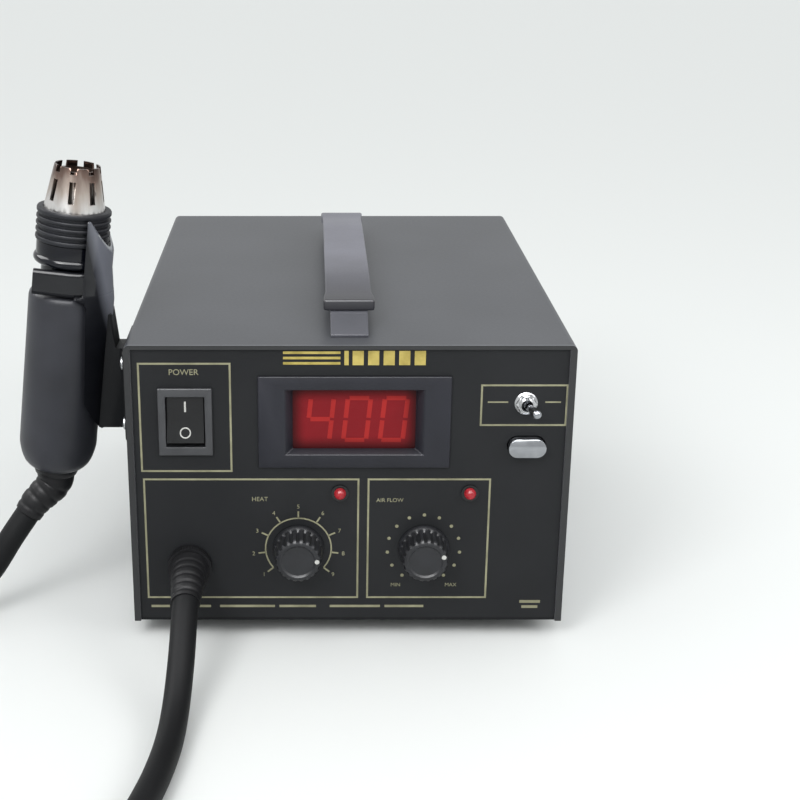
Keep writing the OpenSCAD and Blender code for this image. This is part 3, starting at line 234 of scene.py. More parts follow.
# Silicone rubber, extruded: a dull skin that picks up dust
hose_rubber = grained("extruded_silicone_rubber", "0b0c0e", "101113", 1.2, 0.2, 0.55,
                      Specular_IOR_Level=0.15)
give(hose, hose_rubber)
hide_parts("front_hose", "hose_coil", "back_hose")
# Its last 0.2 m follow the handpiece when that is pulled off, by their distance along the hose
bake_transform(hose, "casing", "handpiece", start=mm(-170, 12.5, 5), end=mm(-143, 26, 48))
hose_follows = 0.2
shares = hose.data.attributes["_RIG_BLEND"].data
for ring in range(len(hose_path)):
    share = eased(1 - (len(hose_path) - 1 - ring) * hose_step / hose_follows)
    for k in range(hose_sides):
        shares[ring * hose_sides + k].value = share


# Bench and light. A plain pale bench under an even pale sky, one high soft sun from the front left,
# two soft lamps, and two softboxes that only glossy faces see, for the highlights on the black plastic.
bpy.ops.object.select_all(action="DESELECT")
bpy.ops.mesh.primitive_plane_add(size=40, location=(0, 12, 0))
bench = bpy.context.object
bench.name = "bench"
# Melamine laminate: matt and plain
bench_paint, bench_shader = shader("matt_white_laminate", 0.9, Specular_IOR_Level=0.1)
bench_shader.inputs["Base Color"].default_value = linear("e4e6e5")
give(bench, bench_paint)
world = bpy.data.worlds.new("studio")
world.use_nodes = True
world.node_tree.nodes["Background"].inputs["Color"].default_value = linear("eaecec")
world.node_tree.nodes["Background"].inputs["Strength"].default_value = 1.0
bpy.context.scene.world = world
bpy.context.scene.view_settings.view_transform = "Standard"
bpy.ops.object.light_add(type="SUN", rotation=(radians(38), radians(-14), 0))
sun = bpy.context.object
sun.data.angle = radians(50)
sun.data.energy = 0.7


def lamp(place, aim, width, height, power, lights=True):
    """A soft lamp that faces a point. One that lights nothing is only seen in glossy faces."""
    turn = (aim - place).to_track_quat("-Z", "Y").to_euler()
    bpy.ops.object.light_add(type="AREA", location=place, rotation=turn)
    bpy.context.object.data.shape = "RECTANGLE"
    bpy.context.object.data.size = width
    bpy.context.object.data.size_y = height
    bpy.context.object.data.energy = power
    bpy.context.object.visible_diffuse = lights


fork_at = mm(-118, 30, 165)
lamp(mm(-420, -620, 700), mm(-60, 0, 120), 0.35, 0.35, 3.0)
lamp(mm(700, -380, 620), mm(0, 0, 90), 0.45, 0.45, 2.5)
lamp(mm(-60, -430, 830), fork_at, 1.0, 0.7, 20.0, lights=False)
lamp(mm(-700, 240, 680), fork_at, 0.5, 0.5, 5.0, lights=False)


# Case. A tray and a cover of 1.2 mm steel, powder coated: the cover slate grey, the rest near black.
# The cover's front and rear edges are folded in round the two panels, and the front fold is
# painted black with the panel.
def copied(node, body, angle=35):
    """A copy of a CAD node with its faces joined and shaded smooth, which stands for the node."""
    piece = bpy.data.objects.new(node + "_finished", nodes[node].data.copy())
    bpy.context.collection.objects.link(piece)
    pick(piece)
    bpy.ops.object.mode_set(mode="EDIT")
    bpy.ops.mesh.select_all(action="SELECT")
    bpy.ops.mesh.remove_doubles(threshold=0.00001)
    bpy.ops.object.mode_set(mode="OBJECT")
    smooth(piece, angle)
    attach(piece, body)
    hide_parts(node)
    return piece


def rounded(piece, width, segments=2, angle=30):
    """Rounds the piece's sharp edges to a radius in millimetres."""
    pick(piece)
    edge = piece.modifiers.new("broken_edges", "BEVEL")
    edge.width = width / 1000
    edge.segments = segments
    edge.limit_method = "ANGLE"
    edge.angle_limit = radians(angle)
    bpy.ops.object.modifier_apply(modifier=edge.name)
    smooth(piece)


def softened(node, width, body):
    """A copy of a solid CAD node with its sharp edges broken, which stands for the node."""
    piece = copied(node, body)
    pick(piece)
    bpy.ops.object.mode_set(mode="EDIT")
    bpy.ops.mesh.select_all(action="SELECT")
    bpy.ops.mesh.dissolve_limited(angle_limit=radians(0.5))
    bpy.ops.object.mode_set(mode="OBJECT")
    rounded(piece, width)
    return piece


def base_of(mat):
    """A finish's Principled shader, and the socket that its colour comes from."""
    main = mat.node_tree.nodes["Principled BSDF"]
    return main, main.inputs["Base Color"].links[0].from_socket


# Powder coat: a slightly orange-peeled satin skin. Its real peel of 0.5 mm is drawn at 1.5 mm to show
cover_paint = grained("slate_powder_coat", "3b3d42", "414348", 1.5, 0.1, 0.42, patch_mm=60)
cover_main, slate = base_of(cover_paint)
cover_place = add(cover_paint, "ShaderNodeSeparateXYZ",
                  [("Vector", add(cover_paint, "ShaderNodeTexCoord").outputs["Object"])])
# From the fold's black face at 0, over a thin painted highlight along its edge, to the slate behind it,
# within 2 mm
behind = add(cover_paint, "ShaderNodeMapRange", [("Value", cover_place.outputs["Y"])],
             From_Min=case_front - 0.0013, From_Max=case_front + 0.0007)
edge_highlight_end = 0.35
# The pale stop is a painted highlight on the fold's edge
fold = ramp(cover_paint, behind.outputs["Result"],
            [(0, "1e1f21"), (0.12, "7f8187"), (edge_highlight_end, "404246")], "CONSTANT")
past = add(cover_paint, "ShaderNodeMath", [(0, behind.outputs["Result"])], operation="GREATER_THAN")
past.inputs[1].default_value = edge_highlight_end
# The colour inputs of a Mix node and its colour result, by their numbers
mix_a, mix_b, mix_out = 6, 7, 2
cover_mix = add(cover_paint, "ShaderNodeMix",
                [("Factor", past.outputs["Value"]), (mix_a, fold), (mix_b, slate)], data_type="RGBA")
cover_paint.node_tree.links.new(cover_mix.outputs[mix_out], cover_main.inputs["Base Color"])
give(nodes["top_cover"], cover_paint)
# Powder coat on the tray and the rear, and stoved enamel on the panel: both satin black
black_coat = grained("black_powder_coat", "0e0f11", "131416", 1.5, 0.12, 0.5, patch_mm=50,
                     Specular_IOR_Level=0.15)
panel_paint = grained("satin_black_enamel", "1d1e20", "222325", 2.0, 0.05, 0.4, patch_mm=60,
                      Specular_IOR_Level=0.16)
for name in ("base_tray", "rear_panel"):
    give(nodes[name], black_coat)
give(nodes["front_panel"], panel_paint)
# Zinc plated steel: pale, with a faint blotchy passivation
zinc = grained("zinc_plated_steel", "9a9c9e", "b4b6b8", 0.8, 0.1, 0.34, metal=1.0, patch_mm=3)
for name in ("case_screws", "foot_screws", "handle_screws", "holder_screws", "grip_screws"):
    give(nodes[name], zinc)
# Moulded rubber: black, matt
foot_rubber = grained("moulded_black_rubber", "161617", "1c1c1e", 0.9, 0.3, 0.7)
give(nodes["rubber_feet"], foot_rubber)


# Printing on the front panel: pale olive frames and scales, screen printed, and a gilt ornament.
# It stands out by its thickness in millimetres, as thick ink does.
ink = 0.06


def joined(name, parts):
    """Several meshes as one piece."""
    bpy.ops.object.select_all(action="DESELECT")
    for part in parts:
        part.select_set(True)
    piece = parts[0]
    bpy.context.view_layer.objects.active = piece
    bpy.ops.object.join()
    piece.name = name
    piece.select_set(False)
    return piece


def slab(middle, size, turn=(0, 0, 0)):
    """A rectangular block with its middle at this place. Its sizes are in millimetres."""
    bpy.ops.object.select_all(action="DESELECT")
    bpy.ops.mesh.primitive_cube_add(size=1, location=middle, rotation=turn,
                                    scale=[side / 1000 for side in size])
    bpy.ops.object.transform_apply(location=True, rotation=True, scale=True)
    return bpy.context.object


def bar(x0, z0, x1, z1, width):
    """A printed line between two places on the panel."""
    return slab(mm((x0 + x1) / 2, -ink / 2, (z0 + z1) / 2), (hypot(x1 - x0, z1 - z0), ink, width),
                (0, -atan2(z1 - z0, x1 - x0), 0))


def ruled_frame(x0, x1, z0, z1, width):
    """A printed frame whose lines lie inside these edges, as four bars that share their corners."""
    h = width / 2
    return [bar(x0, z0 + h, x1, z0 + h, width), bar(x0, z1 - h, x1, z1 - h, width),
            bar(x0 + h, z0 + width, x0 + h, z1 - width, width),
            bar(x1 - h, z0 + width, x1 - h, z1 - width, width)]


def words(text, x, z, size):
    """Printed figures or letters, raised from the panel's face."""
    bpy.ops.object.select_all(action="DESELECT")
    bpy.ops.object.text_add(location=mm(x, 0, z), rotation=(pi / 2, 0, 0))
    piece = bpy.context.object
    piece.data.body = text
    piece.data.size = size / 1000
    piece.data.align_x = "CENTER"
    piece.data.align_y = "CENTER"
    piece.data.extrude = ink / 1000
    bpy.ops.object.convert(target="MESH")
    bpy.ops.object.transform_apply(location=True, rotation=True, scale=True)
    return bpy.context.object


def dot(x, y, z, r, sides=16):
    """A printed round spot whose face is at y."""
    bpy.ops.object.select_all(action="DESELECT")
    bpy.ops.mesh.primitive_cylinder_add(vertices=sides, radius=r / 1000, depth=ink / 1000,
                                        location=mm(x, y + ink / 2, z), rotation=(pi / 2, 0, 0))
    bpy.ops.object.transform_apply(location=True, rotation=True, scale=True)
    return bpy.context.object


# Frames round the power switch, the toggle, the heat dial with the hose outlet, and the air dial
frames = []
for x0, x1, z0, z1 in ((-88.1, -49.4, 78.6, 127.2), (54.5, 90.8, 99.4, 117.8),
                       (-87.5, 4.4, 19.1, 75.6), (7.9, 60.3, 19.1, 75.6)):
    frames += ruled_frame(x0, x1, z0, z1, 0.8)


def around(centre, r, degrees):
    """Where a radius at this angle ends on the panel, across and up."""
    return centre[0] + r * cos(radians(degrees)), centre[1] + r * sin(radians(degrees))


# The two dials. Heat has a scale of nine ticks and figures on an arc of short bars, and air has 13 spots
heat_at = (-21.6, 43.0)
air_at = (32.4, 43.0)
arc_r, tick_r, figure_r, spot_r = 14.2, 17.4, 19.5, 15.7
heat_low, heat_sweep, heat_steps = 220, 260, 8
air_low, air_sweep, air_steps = 235, 290, 12
arc_bars = 28
scale = []
for i in range(arc_bars):
    here = heat_low - heat_sweep + i * heat_sweep / arc_bars
    there = here + heat_sweep / arc_bars
    scale.append(bar(*around(heat_at, arc_r, here), *around(heat_at, arc_r, there), 0.6))
for i in range(heat_steps + 1):
    here = heat_low - i * heat_sweep / heat_steps
    scale.append(bar(*around(heat_at, arc_r, here), *around(heat_at, tick_r, here), 0.7))
    scale.append(words(str(i + 1), *around(heat_at, figure_r, here), 2.6))
for i in range(air_steps + 1):
    x, z = around(air_at, spot_r, air_low - i * air_sweep / air_steps)
    scale.append(dot(x, -ink, z, 0.75))
# Labels, a line on each side of the toggle, and bars along the panel's foot
labels = [words("POWER", -69, 123, 3.6), words("HEAT", -38, 66, 2.8), words("AIR FLOW", 17.5, 65.5, 2.5),
          words("MIN", 20.6, 25.5, 2.4), words("MAX", 44.6, 25.5, 2.4),
          bar(57.5, 110, 66, 110, 0.6), bar(81.5, 110, 88, 110, 0.6)]
for x0, x1 in ((-86, -78), (-76, -60), (-56, -32), (-30, -14), (-8, 14), (16, 33)):
    labels.append(bar(x0, 15.2, x1, 15.2, 1.1))
labels += [bar(75, 17.4, 84, 17.4, 1.3), bar(76, 14.9, 83, 14.9, 1.3)]
# Screen ink: matt and opaque, a little uneven at its edges
ink_paint = grained("pale_olive_screen_ink", "75735a", "8d8b70", 1.0, 0.1, 0.6, patch_mm=8)
print_marks = joined("panel_printing", frames + scale + labels)
give(print_marks, ink_paint)
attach(print_marks, "casing")
# The ornament: three stripes, an upright bar and five blocks
stripe_z = (127, 129.3, 131.6)
ornament = [bar(-27.7, z, -4, z, 1.1) for z in stripe_z]
ornament += [bar(-2.4, stripe_z[1], -0.6, stripe_z[1], 6.2)]
ornament += [bar(x, stripe_z[1], x + 4.6, stripe_z[1], 6.2) for x in (1, 7.4, 13.8, 20.2, 26.6)]
gilt_bar = joined("gilt_ornament", ornament)
# Hot stamped foil: a warm metal film with a soft shine
gilt = grained("hot_stamped_gilt_foil", "a08f49", "c0ae62", 1.0, 0.1, 0.4, metal=0.5, patch_mm=6)
give(gilt_bar, gilt)
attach(gilt_bar, "casing")


# Power switch. A moulded body that snaps into the panel, with a raised grey frame, and a black rocker
# whose marks are filled with white: a bar for on at the top, a ring for off below.
def face_at(piece, y):
    """Selects the piece's forward or rear faces that lie in this plane, in edit mode."""
    bpy.ops.mesh.select_all(action="DESELECT")
    bpy.ops.object.mode_set(mode="OBJECT")
    for face in piece.data.polygons:
        face.select = abs(face.normal.y) > 0.99 and abs(face.center.y - mm(0, y, 0).y) < 0.00002
    bpy.ops.object.mode_set(mode="EDIT")


def stepped(at, back, from_size, to_size):
    """Extrudes the selected face back by so many millimetres, to a new width and height."""
    bpy.ops.mesh.extrude_region_move(TRANSFORM_OT_translate={"value": (0, back / 1000, 0)})
    bpy.ops.transform.resize(value=(to_size[0] / from_size[0], 1, to_size[1] / from_size[1]),
                             center_override=mm(at[0], 0, at[1]))


def panel_frame(name, at, out, bezel, opening, floor, floor_y, body, body_y):
    """A bezel with a sloping opening, and the body behind it. Sizes are widths and heights."""
    piece = slab(mm(at[0], -out / 2, at[1]), (bezel[0], out, bezel[1]))
    piece.name = name
    bpy.ops.object.mode_set(mode="EDIT")
    bpy.ops.mesh.select_mode(type="FACE")
    face_at(piece, -out)
    stepped(at, 0, bezel, opening)
    stepped(at, out + floor_y, opening, floor)
    face_at(piece, 0)
    stepped(at, 0, bezel, body)
    stepped(at, body_y, body, body)
    bpy.ops.object.mode_set(mode="OBJECT")
    return piece


switch_at = (-68.7, 101.5)
# Moulded nylon: dark grey, satin
bezel_nylon = grained("moulded_grey_nylon", "343538", "3b3c3f", 1.2, 0.06, 0.4, patch_mm=10)
switch_frame = panel_frame("switch_frame", switch_at, 1.8, (22.6, 29.7), (16.4, 22.3), (16.4, 22.3), 13,
                           (21, 27), 24)
rounded(switch_frame, 0.45, 3)
# Its four push-on tabs
tabs = [slab(mm(x, 28, z), (0.8, 9, 6))
        for x in (switch_at[0] - 5, switch_at[0] + 5) for z in (switch_at[1] - 7, switch_at[1] + 7)]
switch_frame = joined("switch_frame", [switch_frame] + tabs)
give(switch_frame, bezel_nylon)
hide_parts("switch_body")
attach(switch_frame, "casing")
rocker = softened("switch_rocker", 0.5, "rocker")
# Polished nylon: near black, with clear soft reflections
black_gloss = grained("polished_black_nylon", "0b0b0d", "101113", 1.5, 0.02, 0.25, patch_mm=12,
                      Specular_IOR_Level=0.4)
give(rocker, black_gloss)
# Filling paint: an off white, matt
white_fill = grained("white_fill_paint", "a8a8a4", "bdbdb9", 0.8, 0.1, 0.6, patch_mm=4)
# The marks are drawn round the rocker's pin, which is 5 mm behind the panel's face, and then tilted
# with the rocker as it rests. The rocker's face is a shallow V, so each mark leans by its half's slope.
rocker_slope = radians(8)
rocker_tilt = radians(9)
rocker_pin_in = 5
mark_z = 0.0056
mark_on = slab((0, -0.00609, mark_z), (0.8, 0.4, 4.6), (rocker_slope, 0, 0))
bpy.ops.object.select_all(action="DESELECT")
bpy.ops.mesh.primitive_torus_add(location=(0, -0.006, -mark_z), rotation=(pi / 2 - rocker_slope, 0, 0),
                                 major_radius=0.0021, minor_radius=0.00035,
                                 major_segments=32, minor_segments=8)
bpy.ops.object.transform_apply(location=True, rotation=True, scale=True)
marks = joined("rocker_marks", [mark_on, bpy.context.object])
marks.data.transform(Matrix.Translation(mm(switch_at[0], rocker_pin_in, switch_at[1]))
                     @ Matrix.Rotation(-rocker_tilt, 4, "X"))
give(marks, white_fill)
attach(marks, "rocker")


# Display. A dark moulded surround whose opening slopes in to a red acrylic filter, which lies behind
# the opening's inner edge, 3.5 mm behind the panel's face. Three lit digits show through it.
window_at = (2, 101.2)
window_floor = (51.3, 25.9)
window_seat = (54.3, 28.9)
window_floor_in, window_back = 3.5, 9
surround = panel_frame("display_surround_moulded", window_at, 1.4, (80.7, 40.6), (58.4, 29),
                       window_floor, window_floor_in, (76.3, 36.3), window_back)
pick(surround)
bpy.ops.object.mode_set(mode="EDIT")
# The opening goes on behind the filter's seat, and out through the back
face_at(surround, window_floor_in)
stepped(window_at, 0, window_floor, window_seat)
stepped(window_at, window_back - window_floor_in, window_seat, window_seat)
face_at(surround, window_back)
bpy.ops.mesh.bridge_edge_loops()
bpy.ops.mesh.select_all(action="SELECT")
bpy.ops.mesh.normals_make_consistent(inside=False)
bpy.ops.object.mode_set(mode="OBJECT")
rounded(surround, 0.55, 3, 20)
# Moulded ABS: matt, a dark blue grey
surround_plastic = grained("moulded_dark_blue_abs", "15161e", "1b1c25", 1.4, 0.1, 0.42, patch_mm=30,
                           Specular_IOR_Level=0.35)
give(surround, surround_plastic)
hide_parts("display_surround")
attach(surround, "casing")


def fading_glow(name, dark, light):
    """Red acrylic with light behind it that is a little cloudy and fades towards the window's edges."""
    mat, main = shader(name, 0.3, Emission_Strength=0.8, Specular_IOR_Level=0.12)
    place = add(mat, "ShaderNodeTexCoord").outputs["Object"]
    # Three clouds in 50 mm, which is about the window's width
    cloud = add(mat, "ShaderNodeTexNoise", [("Vector", place)], Scale=3000 / 50, Detail=2.0)
    tone = ramp(mat, cloud.outputs["Fac"], [(0.2, dark), (0.8, light)])
    centre = mm(window_at[0], 0, window_at[1])
    from_centre = add(mat, "ShaderNodeVectorMath", [(0, place)], operation="SUBTRACT")
    from_centre.inputs[1].default_value = centre
    away = add(mat, "ShaderNodeVectorMath", [(0, from_centre.outputs["Vector"])], operation="ABSOLUTE")
    split = add(mat, "ShaderNodeSeparateXYZ", [("Vector", away.outputs["Vector"])])
    for axis, half in (("X", window_floor[0] / 2000), ("Z", window_floor[1] / 2000)):
        fade = add(mat, "ShaderNodeMapRange", [("Value", split.outputs[axis])],
                   interpolation_type="SMOOTHSTEP", From_Min=half - 0.006, From_Max=half + 0.001,
                   To_Min=1.0, To_Max=0.12)
        tone = add(mat, "ShaderNodeVectorMath", [(0, tone), (1, fade.outputs["Result"])],
                   operation="MULTIPLY").outputs["Vector"]
    main.inputs["Base Color"].default_value = linear("260407")
    mat.node_tree.links.new(tone, main.inputs["Emission Color"])
    return mat


# Acrylic filter: a dull red, lit from behind
give(nodes["display_filter"], fading_glow("red_acrylic_filter", "821b21", "941e25"))
# Each segment's place from the digit's middle, in digit widths and half heights, and if it is upright
digit_parts = {"a": (0, 1, False), "b": (0.5, 0.5, True), "c": (0.5, -0.5, True), "d": (0, -1, False),
               "e": (-0.5, -0.5, True), "f": (-0.5, 0.5, True), "g": (0, 0, False)}
digit_pitch, digit_w, digit_half_h, digit_slope = 15.5, 9.6, 9.4, 0.1
digits_right, digits_in = 1.2, 3.4
segment_l, segment_w, segment_t = 8.2, 1.9, 0.2
segments = []
for place, shown in ((-1, "fgbc"), (0, "abcdef"), (1, "abcdef")):
    for part in shown:
        x, z, upright = digit_parts[part]
        across = (window_at[0] + place * digit_pitch + digits_right
                  + x * digit_w + digit_slope * z * digit_half_h)
        size = (segment_w, segment_t, segment_l) if upright else (segment_l, segment_t, segment_w)
        segments.append(slab(mm(across, digits_in, window_at[1] + z * digit_half_h), size,
                             (0, atan2(digit_slope, 1) if upright else 0, 0)))
digits = joined("lit_digits", segments)
# The digits are drawn on the filter's face, only a little brighter than its glow, as they look through it
give(digits, fading_glow("lit_digit_diffuser", "b02c2a", "c43430"))
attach(digits, "casing")
# Solder resist: green, smooth and a little shiny
solder_resist = grained("green_solder_resist", "1c4a2a", "24582f", 2.0, 0.1, 0.35, patch_mm=10)
for name in ("display_board", "main_board"):
    give(nodes[name], solder_resist)
# Potting epoxy: grey, satin
give(nodes["digit_module"], grained("grey_epoxy", "8a8780", "98958d", 1.0, 0.1, 0.5))


# Toggle and push button. The toggle's bush and nut are nickel plated; its lever and the button, which
# fingers touch, are chromed. The button's switch sits behind the panel.

# Nickel: warm white metal with a soft shine
plated = grained("nickel_plated_brass", "a5a6a8", "bdbec0", 0.6, 0.05, 0.25, metal=1.0, patch_mm=4)
# Chrome: cold and mirror bright
chrome = grained("chromed_brass", "94969a", "a6a8ac", 1.0, 0.01, 0.16, metal=1.0, patch_mm=8)
for name in ("toggle_body", "toggle_nut"):
    give(copied(name, "casing"), plated)
give(copied("toggle_lever", "toggle"), chrome)
give(softened("push_button", 0.9, "button"), chrome)
# Moulded nylon: black, satin
black_nylon = grained("moulded_black_nylon", "1b1c1e", "222326", 1.2, 0.06, 0.33, patch_mm=10,
                      Specular_IOR_Level=0.4)
give(nodes["button_switch"], black_nylon)


# Dials. Fluted black knobs of 22 mm pressed on 6 mm shafts, each with a white pointer spot near the
# rim of its face, over potentiometers that are nutted to the panel.
def lathe(name, profile, steps=64):
    """An outline of radii and heights in millimetres, drawn from point to point and spun round Z."""
    bpy.ops.object.select_all(action="DESELECT")
    bpy.ops.mesh.primitive_plane_add(size=0.0001)
    piece = bpy.context.object
    piece.name = name
    bpy.ops.object.mode_set(mode="EDIT")
    bpy.ops.mesh.select_mode(type="VERT")
    bpy.ops.mesh.select_all(action="SELECT")
    bpy.ops.mesh.merge(type="CENTER")
    bpy.ops.transform.translate(value=(profile[0][0] / 1000, 0, profile[0][1] / 1000))
    for (r0, z0), (r1, z1) in zip(profile, profile[1:]):
        bpy.ops.mesh.extrude_region_move(
            TRANSFORM_OT_translate={"value": ((r1 - r0) / 1000, 0, (z1 - z0) / 1000)})
    bpy.ops.mesh.select_all(action="SELECT")
    bpy.ops.mesh.spin(steps=steps, angle=2 * pi, center=(0, 0, 0), axis=(0, 0, 1))
    bpy.ops.mesh.select_all(action="SELECT")
    bpy.ops.mesh.remove_doubles(threshold=0.000002)
    bpy.ops.mesh.normals_make_consistent(inside=False)
    bpy.ops.object.mode_set(mode="OBJECT")
    return piece


def picked_points(piece, wanted):
    """Leaves edit mode's selection on the points that this function wants."""
    bpy.ops.object.mode_set(mode="EDIT")
    bpy.ops.mesh.select_mode(type="VERT")
    bpy.ops.mesh.select_all(action="DESELECT")
    bpy.ops.object.mode_set(mode="OBJECT")
    for point in piece.data.vertices:
        point.select = wanted(point.co * 1000)
    bpy.ops.object.mode_set(mode="EDIT")


# Outline of a knob: its hollow back, its skirt, its tapered grip, and its face, sunk inside a rim
knob_top = 13.8
knob_profile = [(0, 3.4), (6.6, 3.4), (6.6, 0.5), (10.7, 0.5), (11.0, 0.8), (11.0, 1.9), (10.6, 2.7),
                (10.3, 3.2), (10.2, 3.9), (9.9, 11.6), (9.6, 12.6), (8.9, 13.4), (8.0, knob_top),
                (7.4, knob_top), (6.9, 13.4), (6.6, 13.2), (0, 13.2)]
# The flutes are drawn in over the side of the grip: outside this radius and above this height
flutes, fluted_r, fluted_z = 20, 9.2, 3.6
# The pointer spot's place from the middle of the face, and its radius
pointer_at, pointer_r = 8.0, 1.0
# Moulded phenolic: black, with a faint grain that catches the light on the flutes
knob_plastic = grained("moulded_black_phenolic", "191a1d", "212226", 0.9, 0.15, 0.38, patch_mm=10,
                       Specular_IOR_Level=0.4)


def knob(name, place, pointer, body):
    """A knob whose grip is fluted by drawing in the lines between its ribs."""
    piece = lathe(name, knob_profile, 6 * flutes)
    # First the bottom of each flute is drawn in, and then all of it, by the cosine of its wave
    for depth, low in ((0.94, 0.5), (0.965, 0.2)):
        pick(piece)
        picked_points(piece, lambda p: hypot(p.x, p.y) > fluted_r and p.z > fluted_z
                      and cos(flutes * atan2(p.y, p.x)) > low)
        bpy.ops.transform.resize(value=(depth, depth, 1), center_override=(0, 0, 0))
        bpy.ops.object.mode_set(mode="OBJECT")
    piece.data.transform(Matrix.Translation(mm(place[0], 0, place[1])) @ Matrix.Rotation(pi / 2, 4, "X"))
    smooth(piece, 30)
    give(piece, knob_plastic)
    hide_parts(body + "_knob")
    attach(piece, body + "_dial")
    x, z = around(place, pointer_at, pointer)
    spot = dot(x, -knob_top - 0.05, z, pointer_r, 20)
    spot.name = name + "_spot"
    give(spot, white_fill)
    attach(spot, body + "_dial")


knob("heat_knob_fluted", heat_at, 0, "heat")
knob("air_knob_fluted", air_at, 15.5, "air")
for name in ("heat_control", "air_control", "heat_shaft", "air_shaft", "control_nuts"):
    give(nodes[name], plated)


# Indicator lamps. Two red diffused lamps of 5 mm stand in black holders, above the heat dial and the
# air dial. They are lit, but faintly.
# Diffusing epoxy: a deep red with pale grains of 2 mm, lit from within
lens, lens_shader = shader("red_diffused_epoxy", 0.25, Emission_Strength=0.35, Specular_IOR_Level=0.4)
lens_place = add(lens, "ShaderNodeTexCoord").outputs["Object"]
lens_cloud = add(lens, "ShaderNodeTexNoise", [("Vector", lens_place)], Scale=1000 / 2, Detail=2.0)
lens_tone = ramp(lens, lens_cloud.outputs["Fac"], [(0.3, "7c141b"), (0.7, "9a2029")])
lens.node_tree.links.new(lens_tone, lens_shader.inputs["Base Color"])
lens.node_tree.links.new(lens_tone, lens_shader.inputs["Emission Color"])
give(copied("lamp_lenses", "casing", 50), lens)
give(copied("lamp_holders", "casing"), black_gloss)


# Hose outlet. A nylon gland with its nut behind the panel, and a moulded boot with shallow ribs that
# keeps the hose from kinking.

# Glass filled nylon: black, dull
gland_nylon = grained("moulded_black_nylon_66", "131315", "19191b", 1.0, 0.08, 0.45, patch_mm=8,
                      Specular_IOR_Level=0.2)
give(copied("hose_gland", "casing"), gland_nylon)
give(nodes["gland_nut"], gland_nylon)
# Depth of a boot's grooves and step between its rings, in millimetres, and the share of its length that
# is plain at each end
groove_depth, boot_step, plain_end = 0.4, 0.6, 0.08


def ribbed_boot(name, points, start_r, end_r, ribs):
    """A tapered boot along a path, with shallow ribs between its two plain ends."""
    path = smooth_path(points, boot_step / 1000)
    last = len(path) - 1
    radii = []
    for i in range(last + 1):
        t = i / last
        ribbed = plain_end < t < 1 - plain_end
        groove = groove_depth * max(0, sin(2 * pi * ribs * t)) ** 2 if ribbed else 0
        radii.append((start_r + (end_r - start_r) * t - groove) / 1000)
    piece = tube(name, path, radii, 32)
    smooth(piece, 50)
    give(piece, gland_nylon)
    return piece


outlet_boot = ribbed_boot("outlet_boot_ribbed", [mm(*p) for p in front_lead[:3]], 8.4, 6.1, 6)
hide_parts("outlet_boot")
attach(outlet_boot, "casing")


# Strap handle. Two moulded feet, and a soft plastic strap that slides in its end caps and arches up
# when it is lifted: flat and flared at its ends, narrower and higher in its stiff middle.
strap_low, strap_y0, strap_l, strap_t = 142.4, 24.5, 174, 4.8
strap_end_w, strap_w = 21.8, 20
strap_arch, arch_from, arch_over = 2, 7, 38
# Moulded ABS: dark grey, satin
foot_abs = grained("moulded_grey_abs", "3f4047", "484951", 1.2, 0.1, 0.42)
give(softened("handle_feet", 0.4, "casing"), foot_abs)
strap = slab(mm(0, strap_y0 + 0.5, strap_low + strap_t / 2), (strap_end_w, 1, strap_t))
strap.name = "strap"
bpy.ops.object.mode_set(mode="EDIT")
bpy.ops.mesh.select_mode(type="FACE")
face_at(strap, strap_y0 + 1)
# The block is the strap's first millimetre, and is drawn out from there: steps along half the strap,
# and the width that each comes to
half_strap = [(6, strap_end_w), (2.5, 21.2), (2.5, 20.4)] + [(5, strap_w)] * 6 + [(9, strap_w)] * 5
stations = half_strap + half_strap[::-1]
reached, wide = 1, strap_end_w
stretch = (strap_l - 1) / sum(step for step, width in stations)


def strap_rise(y):
    """Height of the strap above its ends, at this distance from its front end."""
    return strap_arch * eased((min(y, strap_l - y) - arch_from) / arch_over)


for step, width in stations:
    step *= stretch
    lift = strap_rise(reached + step) - strap_rise(reached)
    reached += step
    bpy.ops.mesh.extrude_region_move(TRANSFORM_OT_translate={"value": (0, step / 1000, lift / 1000)})
    bpy.ops.transform.resize(value=(width / wide, 1, 1), center_override=mm(0, 0, 0))
    wide = width
bpy.ops.object.mode_set(mode="OBJECT")
rounded(strap, 1.3, 4, 45)
# Plasticised PVC: grey with a touch of violet, finely grained, soft shine
strap_plastic = grained("grey_pvc_strap", "62626c", "6b6b76", 1.2, 0.1, 0.42, patch_mm=25)
# Painted shade: its colour darkens towards its front end, where it slopes down to its lip
strap_main, strap_unshaded = base_of(strap_plastic)
strap_place = add(strap_plastic, "ShaderNodeSeparateXYZ",
                  [("Vector", add(strap_plastic, "ShaderNodeTexCoord").outputs["Object"])])
from_end = add(strap_plastic, "ShaderNodeMapRange", [("Value", strap_place.outputs["Y"])],
               From_Min=mm(0, strap_y0, 0).y, From_Max=mm(0, strap_y0 + 80, 0).y)
# Painted shade: darkest at the front end, fading out 80 mm back
front_shade = ramp(strap_plastic, from_end.outputs["Result"],
             [(0, "707072"), (0.3, "a6a6a8"), (0.65, "e2e2e2"), (1, "ffffff")])
strap_tone = add(strap_plastic, "ShaderNodeVectorMath", [(0, strap_unshaded), (1, front_shade)],
                 operation="MULTIPLY")
strap_plastic.node_tree.links.new(strap_tone.outputs["Vector"], strap_main.inputs["Base Color"])
give(strap, strap_plastic)
# Its ends stay in the feet, and its middle rises with the grip
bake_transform(strap, "casing", "handle", start=mm(0, strap_y0, 144), end=mm(0, strap_y0 + 46, 144))
for point, share in zip(strap.data.vertices, strap.data.attributes["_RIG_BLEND"].data):
    y = (point.co.y - mm(0, strap_y0, 0).y) * 1000
    share.value = eased((min(y, strap_l - y) - 8) / 36)
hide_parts("handle_spans", "handle_grip")


# Holder. A black painted steel bracket on the case's left wall carries a polished black moulding: a
# cradle that hugs the back of the grip, and a fork on which the handpiece's band rests.
hand_lean = radians(7)
hand = Matrix.Translation(mm(-118.8, 30.5, 156.5)) @ Matrix.Rotation(hand_lean, 4, "Y")
give(copied("holder_bracket", "casing"), black_coat)
